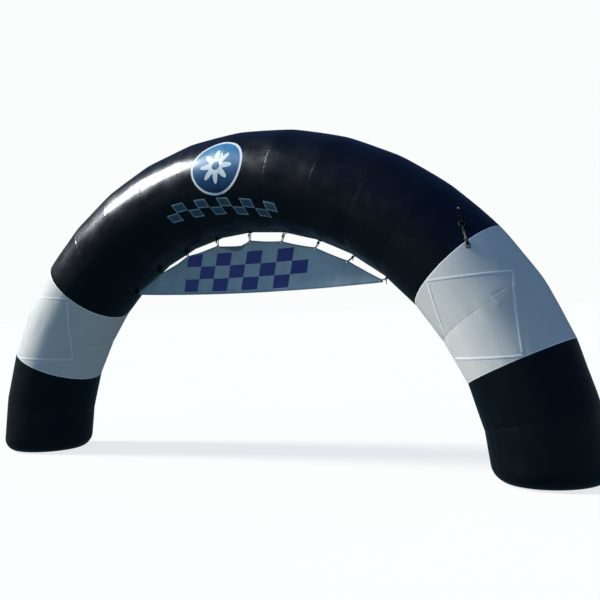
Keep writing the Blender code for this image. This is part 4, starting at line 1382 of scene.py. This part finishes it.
def coated_cloth(name, base, dust, thread, film, rough, level, gleam, edge=None, printing=None):
    """PVC-coated polyester: a plain weave filled level by a rolled-on coat, so it is nearly smooth and
    mirrors the sky softly. A thin film of dust dulls it in patches, and more of it low down. Where white
    meets black, a pale line is painted along the white cloth's folded edge: a painted highlight of the
    fold."""
    material, tree, shader = new_finish(name, Specular_IOR_Level=level, Specular_Tint=linear(gleam))
    along, around, seam = tube_map(tree)
    place = add(tree, "TexCoord").outputs["Object"]
    height = add(tree, "SeparateXYZ", (place,)).outputs["Z"]
    patches = add(tree, "TexNoise",
                  {"Vector": place, "Scale": 1 / DUST_SIZE, "Detail": 5.0, "Roughness": 0.62})
    filmed = add(tree, "MapRange", (patches, 0.42, 0.78, 0.0, film), interpolation_type="SMOOTHSTEP")
    splashes = add(tree, "TexNoise",
                   {"Vector": place, "Scale": 1 / SPLASH_SIZE, "Detail": 6.0, "Roughness": 0.7})
    splashed = add(tree, "MapRange", (splashes, 0.38, 0.72), interpolation_type="SMOOTHSTEP")
    low = add(tree, "MapRange", (height, 0.0, SPLASH_HEIGHT, 2 * film, 0.0),
              interpolation_type="SMOOTHSTEP")
    overlay_share = add(tree, "Math", (splashed, low, filmed), operation="MULTIPLY_ADD")
    paint = add(tree, "Mix", (overlay_share, linear(base), linear(dust)), data_type="RGBA")
    if printing:
        paint = printing(tree, paint, along, around)
    folded = add(tree, "Math", (seam, FOLD_WIDTH), operation="LESS_THAN")
    # The edge colour is a painted highlight: a pale line along the folded edges of the seams between white
    # and black gores.
    if edge:
        from_crown = add(tree, "Math", (along, ARCH_RADIUS * math.pi / 2), operation="SUBTRACT")
        from_crown = add(tree, "Math", (from_crown,), operation="ABSOLUTE")
        plain = add(tree, "Math", (from_crown, ARCH_RADIUS * PLAIN_SEAM, 0.1), operation="COMPARE")
        painted_edge_highlight = add(tree, "Math", (folded, plain), operation="SUBTRACT", use_clamp=True)
        paint = add(tree, "Mix", (painted_edge_highlight, paint, linear(edge)), data_type="RGBA")
    sewn = stitches(tree, seam, STITCH_ROWS, around)
    paint = add(tree, "Mix", (sewn, paint, linear(thread)), data_type="RGBA")
    cloudy = add(tree, "TexNoise",
                 {"Vector": place, "Scale": 1 / GLOSS_SIZE, "Detail": 4.0, "Roughness": 0.6})
    gloss = add(tree, "MapRange", (cloudy, 0.3, 0.7, rough - 0.03, rough + 0.05),
                interpolation_type="SMOOTHSTEP")
    gloss = add(tree, "Math", (overlay_share, 0.3, gloss), operation="MULTIPLY_ADD")
    dimples = add(tree, "TexNoise", {"Vector": place, "Scale": 1 / DIMPLE_SIZE, "Detail": 2.0})
    threads = weave(tree, (along, around), WEAVE_PITCH)
    bumps = (dimples, DIMPLE_DEPTH), (folded, FOLD_STEP), (sewn, STITCH_RELIEF), (threads, WEAVE_DEPTH)
    finished(tree, shader, paint, bumps, gloss)
    return material


def chequer(tree, paint, ways, cell, count, border, rim, fill):
    """Every other cell of a chequer over the paint, filled and rimmed. Ways are distances from its middle,
    and cell and count are the size and the number of cells each way."""
    total, within, inside = 0.0, 1.0, 1.0
    for way, size, number in zip(ways, cell, count):
        steps = add(tree, "Math", (way, 1 / size, number / 2), operation="MULTIPLY_ADD")
        whole = add(tree, "Math", (steps,), operation="FLOOR")
        part = add(tree, "Math", (steps,), operation="FRACT")
        counted = add(tree, "Math", (whole, (number - 1) / 2, number / 2), operation="COMPARE")
        middle = add(tree, "Math", (part, 0.5, 0.5 - border / size), operation="COMPARE")
        total = add(tree, "Math", (whole, total), operation="ADD")
        within = add(tree, "Math", (counted, within), operation="MULTIPLY")
        inside = add(tree, "Math", (middle, inside), operation="MULTIPLY")
    parity = add(tree, "Math", (total, 2.0), operation="FLOORED_MODULO")
    even = add(tree, "Math", (parity, 0.5), operation="LESS_THAN")
    cells = add(tree, "Math", (even, within), operation="MULTIPLY")
    filled = add(tree, "Math", (cells, inside), operation="MULTIPLY")
    paint = add(tree, "Mix", (cells, paint, linear(rim)), data_type="RGBA")
    return add(tree, "Mix", (filled, paint, linear(fill)), data_type="RGBA")


def crown_print(tree, paint, along, around):
    """A ringed disc with an eight-petalled rosette, and under it a slanted chequered ribbon."""
    aside = add(tree, "Math", (along, DISC_ALONG * ARCH_RADIUS), operation="SUBTRACT")
    down = add(tree, "Math", (around, DISC_AROUND * TUBE_RADIUS), operation="SUBTRACT")
    arm = add(tree, "CombineXYZ", (aside, down))
    far = add(tree, "VectorMath", (arm,), operation="LENGTH")
    # The disc's blue is painted paler at its top and darker at its foot: painted shade, as the tube turns
    # away from the light.
    shade = add(tree, "MapRange", (down, -DISC_RADIUS, DISC_RADIUS), interpolation_type="SMOOTHSTEP")
    blue = add(tree, "Mix", (shade, linear("#3d7fae"), linear("#0d3157")), data_type="RGBA")
    disc = add(tree, "Math", (far, DISC_RADIUS), operation="LESS_THAN")
    field = add(tree, "Math", (far, DISC_RADIUS - DISC_RING), operation="LESS_THAN")
    turn = add(tree, "Math", (down, aside), operation="ARCTAN2")
    turns = add(tree, "Math", (turn, PETAL_COUNT), operation="MULTIPLY")
    wave = add(tree, "Math", (turns,), operation="COSINE")
    reach = add(tree, "Math", (wave, PETAL_DEPTH, PETAL_REACH), operation="MULTIPLY_ADD")
    petals = add(tree, "Math", (far, reach), operation="LESS_THAN")
    open_eye = add(tree, "Math", (far, ROSETTE_EYE), operation="GREATER_THAN")
    flower = add(tree, "Math", (petals, open_eye), operation="MULTIPLY")
    paint = add(tree, "Mix", (disc, paint, linear("#dfe8ee")), data_type="RGBA")
    paint = add(tree, "Mix", (field, paint, blue), data_type="RGBA")
    paint = add(tree, "Mix", (flower, paint, linear("#cfdde6")), data_type="RGBA")
    drop = add(tree, "Math", (around, RIBBON_AROUND * TUBE_RADIUS), operation="SUBTRACT")
    drop = add(tree, "Math", (aside, RIBBON_TILT, drop), operation="MULTIPLY_ADD")
    slant = add(tree, "Math", (drop, RIBBON_SLANT, aside), operation="MULTIPLY_ADD")
    return chequer(tree, paint, (slant, drop), RIBBON_CELL, RIBBON_COUNT, RIBBON_RIM, "#8fa6b2", "#3a5a6c")


def banner_cloth():
    """Warp-knitted flag polyester with a dye print: matt and thin, with the print sunk into the threads.
    Its hem is double, so it reads a little darker, and is held by one row of thread. Where the slack edge
    has turned over, the flap is painted darker: painted shade of the turned flap. The cloth is painted
    paler from left to right: painted shade over the left end, which hangs in the tube's shade."""
    material, tree, shader = new_finish("flag_polyester", Roughness=0.75, Specular_IOR_Level=0.2,
                                        Sheen_Weight=0.12, Sheen_Roughness=0.5)
    x, z, _ = add(tree, "SeparateXYZ", (add(tree, "TexCoord").outputs["UV"],)).outputs
    place = add(tree, "TexCoord").outputs["Object"]
    hem = add(tree, "Attribute", attribute_name="hem_distance").outputs["Fac"]
    patches = add(tree, "TexNoise",
                  {"Vector": place, "Scale": 1 / BLEACH_SIZE, "Detail": 4.0, "Roughness": 0.6})
    tone = add(tree, "MapRange", (patches, 0.35, 0.68, -0.2, 0.2), interpolation_type="SMOOTHSTEP")
    # Paler towards the right end and darker towards the left: painted shade from the tube over the left
    # end.
    painted_left_shade = add(tree, "MapRange", (x, BANNER_LEFT, BANNER_RIGHT))
    tone = add(tree, "Math", (tone, painted_left_shade), operation="ADD", use_clamp=True)
    paint = add(tree, "Mix", (tone, linear("#9db0b8"), linear("#c4d5df")), data_type="RGBA")
    aside = add(tree, "Math", (x, BANNER_PRINT_X), operation="SUBTRACT")
    up = add(tree, "Math", (z, BANNER_PRINT_UP), operation="SUBTRACT")
    slant = add(tree, "Math", (up, -BANNER_PRINT_SLANT, aside), operation="MULTIPLY_ADD")
    paint = chequer(tree, paint, (slant, up), BANNER_PRINT_CELL, BANNER_PRINT_COUNT, BANNER_PRINT_RIM,
                    "#6067a4", "#4e5496")
    double = add(tree, "Math", (hem, HEM_WIDTH), operation="LESS_THAN")
    dark = add(tree, "Math", (double, HEM_SHADE), operation="MULTIPLY")
    paint = add(tree, "Mix", (dark, paint, linear("#6c8096")), data_type="RGBA")
    # The turned-over flap is painted darker toward #78878e: painted shade of the flap.
    back = add(tree, "MapRange", (hem, 0.0, TURNED_OVER))
    paint = add(tree, "Mix", (back, paint, linear("#78878e")), data_type="RGBA")
    sewn = stitches(tree, hem, (HEM_WIDTH - HEM_THREAD_INSET,), x)
    paint = add(tree, "Mix", (sewn, paint, linear("#c3d0dc")), data_type="RGBA")
    crumple = add(tree, "TexNoise", {"Vector": place, "Scale": 1 / CRUMPLE_SIZE, "Detail": 2.0})
    threads = weave(tree, (x, z), FLAG_PITCH)
    finished(tree, shader, paint, [(crumple, 0.0010), (double, 0.0004), (threads, 0.0001)])
    return material


def loop_tape():
    """Nylon loop tape: a short white pile that scatters light, so it is matt beside the coated cloth, with
    a row of thread along each edge."""
    material, tree, shader = new_finish("loop_pile_nylon", Roughness=0.9, Specular_IOR_Level=0.1,
                                        Sheen_Weight=0.04, Sheen_Roughness=0.5)
    place = add(tree, "TexCoord").outputs["Object"]
    x, y, _ = add(tree, "SeparateXYZ", (add(tree, "TexCoord").outputs["UV"],)).outputs
    pile = add(tree, "TexNoise", {"Vector": place, "Scale": 1 / PILE_SIZE, "Detail": 4.0, "Roughness": 0.7})
    tone = add(tree, "MapRange", (pile, 0.3, 0.7), interpolation_type="SMOOTHSTEP")
    paint = add(tree, "Mix", (tone, linear("#d6d8de"), linear("#eff0f4")), data_type="RGBA")
    across = add(tree, "Math", (y,), operation="ABSOLUTE")
    sewn = stitches(tree, across, (TAPE_WIDTH / 2 - TAPE_THREAD_INSET,), x)
    paint = add(tree, "Mix", (sewn, paint, linear("#a4adb8")), data_type="RGBA")
    finished(tree, shader, paint, [(pile, 0.0009), (sewn, -0.0006)])
    return material


def webbing_finish(name, dark, light, thread, half_width, upper_shade=0.0):
    """Woven polyester webbing: ribs across the strap, a slightly furry worn face and a sewn edge. Its upper
    end can be painted darker: painted shade near the metal that it hangs from."""
    material, tree, shader = new_finish(name, Roughness=0.85, Specular_IOR_Level=0.12, Sheen_Weight=0.03)
    place = add(tree, "TexCoord").outputs["Object"]
    x, y, _ = add(tree, "SeparateXYZ", (add(tree, "TexCoord").outputs["UV"],)).outputs
    ribs = weave(tree, (x, y), RIB_PITCH)
    fur = add(tree, "TexNoise",
              {"Vector": place, "Scale": 1 / WEB_WEAR_SIZE, "Detail": 5.0, "Roughness": 0.7})
    worn = add(tree, "MapRange", (fur, 0.35, 0.75), interpolation_type="SMOOTHSTEP")
    tone = add(tree, "Math", (ribs, 0.25, worn), operation="MULTIPLY_ADD", use_clamp=True)
    paint = add(tree, "Mix", (tone, linear(dark), linear(light)), data_type="RGBA")
    across = add(tree, "Math", (y,), operation="ABSOLUTE")
    sewn = stitches(tree, across, (half_width - WEB_THREAD_INSET,), x)
    paint = add(tree, "Mix", (sewn, paint, linear(thread)), data_type="RGBA")
    # Painted shade: the upper end is darkened towards #1b1c1d, fading out along the strap.
    overlay_share = add(tree, "MapRange", (x, *STRAP_SHADE_LENGTHS, upper_shade, 0.0), interpolation_type="SMOOTHSTEP")
    paint = add(tree, "Mix", (overlay_share, paint, linear("#1b1c1d")), data_type="RGBA")
    finished(tree, shader, paint, [(ribs, 0.0004), (sewn, 0.0004)])
    return material


def braided_cord():
    """Braided polyester cord: a dull black sheath, a little paler where its strands are worn."""
    material, tree, shader = new_finish("braided_polyester", Roughness=0.75, Specular_IOR_Level=0.2,
                                        Sheen_Weight=0.04)
    place = add(tree, "TexCoord").outputs["Object"]
    x, y, _ = add(tree, "SeparateXYZ", (add(tree, "TexCoord").outputs["UV"],)).outputs
    fur = add(tree, "TexNoise",
              {"Vector": place, "Scale": 1 / CORD_WEAR_SIZE, "Detail": 4.0, "Roughness": 0.7})
    worn = add(tree, "MapRange", (fur, 0.35, 0.80), interpolation_type="SMOOTHSTEP")
    paint = add(tree, "Mix", (worn, linear("#060708"), linear("#16181b")), data_type="RGBA")
    finished(tree, shader, paint, [(weave(tree, (x, y), BRAID_PITCH), 0.00025)])
    return material


def nickel_plate(name, bright, rubbed, shine, dulled):
    """Nickel-plated steel: warm grey, with dull spots and fine rubbing marks. The ring's copy is darker and
    rougher: painted shade that dims its glints.
    """
    material, tree, shader = new_finish(name, Metallic=1.0)
    place = add(tree, "TexCoord").outputs["Object"]
    spots = add(tree, "TexNoise",
                {"Vector": place, "Scale": 1 / PLATE_SPOT_SIZE, "Detail": 6.0, "Roughness": 0.7})
    dull = add(tree, "MapRange", (spots, 0.35, 0.8, shine, dulled), interpolation_type="SMOOTHSTEP")
    paint = add(tree, "Mix", (spots, linear(bright), linear(rubbed)), data_type="RGBA")
    rubbing = add(tree, "TexNoise", {"Vector": place, "Scale": 1 / PLATE_RUB_SIZE, "Detail": 3.0})
    finished(tree, shader, paint, [(rubbing, 0.00004)], dull)
    return material


def black_steel():
    """Cast steel with a black powder coat that is rubbed through to the metal in places."""
    material, tree, shader = new_finish("powder_coated_steel")
    place = add(tree, "TexCoord").outputs["Object"]
    wear = add(tree, "TexNoise",
               {"Vector": place, "Scale": 1 / COAT_WEAR_SIZE, "Detail": 6.0, "Roughness": 0.75})
    rubbed = add(tree, "MapRange", (wear, 0.62, 0.70), interpolation_type="SMOOTHSTEP")
    paint = add(tree, "Mix", (rubbed, linear("#0b1017"), linear("#8d9096")), data_type="RGBA")
    tree.links.new(rubbed.outputs[0], shader.inputs["Metallic"])
    gloss = add(tree, "MapRange", (wear, 0.3, 0.7, 0.28, 0.40), interpolation_type="SMOOTHSTEP")
    grains = add(tree, "TexNoise", {"Vector": place, "Scale": 1 / COAT_GRAIN_SIZE, "Detail": 3.0})
    finished(tree, shader, paint, [(rubbed, -0.00008), (grains, 0.00005)], gloss)
    return material


# Camera, light and floor

def make_camera():
    """The view of a person who stands in front of the arch, out to its right."""
    data = bpy.data.cameras.new("camera")
    data.sensor_width = SENSOR
    data.lens = FOCAL_PIXELS / FRAME_PIXELS * SENSOR
    data.clip_end = CLIP_END
    camera = bpy.data.objects.new("camera", data)
    right, up = Vector(VIEW_RIGHT).normalized(), Vector(VIEW_UP).normalized()
    back = right.cross(up)
    turn = Matrix((right, up, back)).transposed()
    camera.matrix_world = Matrix.Translation(EYE) @ turn.to_4x4()
    bpy.context.collection.objects.link(camera)
    bpy.context.scene.camera = camera


def sky_colours(tree, height, stops):
    """The studio's surround, by how high the way looks, from straight down to straight up."""
    sky = add(tree, "ValToRGB", (height,))
    elements = sky.color_ramp.elements
    for (place, colour), element in zip(stops, (elements[0], elements[1])):
        element.position, element.color = place, linear(colour)
    for place, colour in stops[2:]:
        elements.new(place).color = linear(colour)
    return sky


def make_light():
    """A soft sun, and a surround that looks pale behind the piece, lights it and is darker in its gloss."""
    data = bpy.data.lights.new("sun", "SUN")
    data.energy = SUN_STRENGTH
    data.angle = math.radians(SUN_SOFTNESS)
    data.color = linear(SUN_COLOUR)[:3]
    sun = bpy.data.objects.new("sun", data)
    sun.rotation_euler = Vector(SUN_TOWARDS).to_track_quat("Z", "Y").to_euler()
    bpy.context.collection.objects.link(sun)
    world = bpy.data.worlds.new("studio")
    bpy.context.scene.world = world
    world.use_nodes = True
    tree = world.node_tree
    tree.nodes.clear()
    way = add(tree, "SeparateXYZ", (add(tree, "TexCoord").outputs["Generated"],))
    height = add(tree, "MapRange", (way.outputs["Z"], -1.0))
    fill = sky_colours(tree, height, FILL_STOPS)
    mirror = sky_colours(tree, height, MIRROR_STOPS)
    rays = add(tree, "LightPath").outputs
    seen = add(tree, "Mix", (rays["Is Glossy Ray"], fill, mirror), data_type="RGBA")
    seen = add(tree, "Mix", (rays["Is Camera Ray"], seen, linear(BACKDROP)), data_type="RGBA")
    add(tree, "OutputWorld", (add(tree, "Background", (seen,)),))


def make_floor():
    """A pale seamless floor that glows a little, so that only soft shadows show on it. It neither lights
    the piece nor shows in its gloss."""
    bpy.ops.mesh.primitive_plane_add(size=FLOOR_SIZE)
    floor = settle(bpy.context.object, "floor")
    material, tree, shader = new_finish("pale_floor", Roughness=0.9, Specular_IOR_Level=0.0)
    place = add(tree, "TexCoord").outputs["Object"]
    mottle = add(tree, "TexNoise", {"Vector": place, "Scale": 1 / FLOOR_MOTTLE_SIZE, "Detail": 3.0})
    paint = add(tree, "Mix", (mottle, linear("#76736e"), linear("#7a7771")), data_type="RGBA")
    tree.links.new(paint.outputs["Result"], shader.inputs["Base Color"])
    shader.inputs["Emission Color"].default_value = linear(FLOOR_GLOW)
    shader.inputs["Emission Strength"].default_value = 1.0
    floor.data.materials.append(material)
    floor.visible_glossy = False
    floor.visible_diffuse = False


def main():
    make_camera()
    make_light()
    make_floor()
    coat = {"base": "#07090c", "dust": "#1c242c", "thread": "#0c0e11", "film": 0.06, "rough": 0.24,
            "level": 0.75, "gleam": "#d6e6ff"}
    black = coated_cloth("black_coated_polyester", **coat)
    printed = coated_cloth("printed_black_coated_polyester", **coat, printing=crown_print)
    # Its edge colour is a painted highlight along the folds where white meets black.
    white = coated_cloth("white_coated_polyester", base="#d2d3d3", dust="#a7a59a", thread="#d9dfe2",
                         film=0.22, rough=0.45, level=0.60, gleam="#ffffff", edge="#f2f6f7")
    make_gores(black, white, printed)
    make_tapes(loop_tape())
    make_banner(banner_cloth())
    webbing = webbing_finish("black_webbing", "#030405", "#090b0e", "#0f1216", ANCHOR_WIDTH / 2)
    make_tabs(webbing)
    make_ties(braided_cord())
    beige = webbing_finish("beige_webbing", "#7d755c", "#b9af90", "#c8bea6", STRAP_WIDTH / 2, STRAP_SHADE_SHARE)
    nickel = nickel_plate("nickel_plate", "#dad8d2", "#b5b2ab", shine=0.20, dulled=0.40)
    # A darker, rougher copy of the nickel for the ring: painted shade that dims its glints.
    shaded_nickel = nickel_plate("shaded_nickel_plate", "#54524e", "#403e3b", shine=0.50, dulled=0.65)
    make_tether(webbing, beige, nickel, shaded_nickel, black_steel())
    bpy.context.scene.view_settings.view_transform = "Standard"


main()
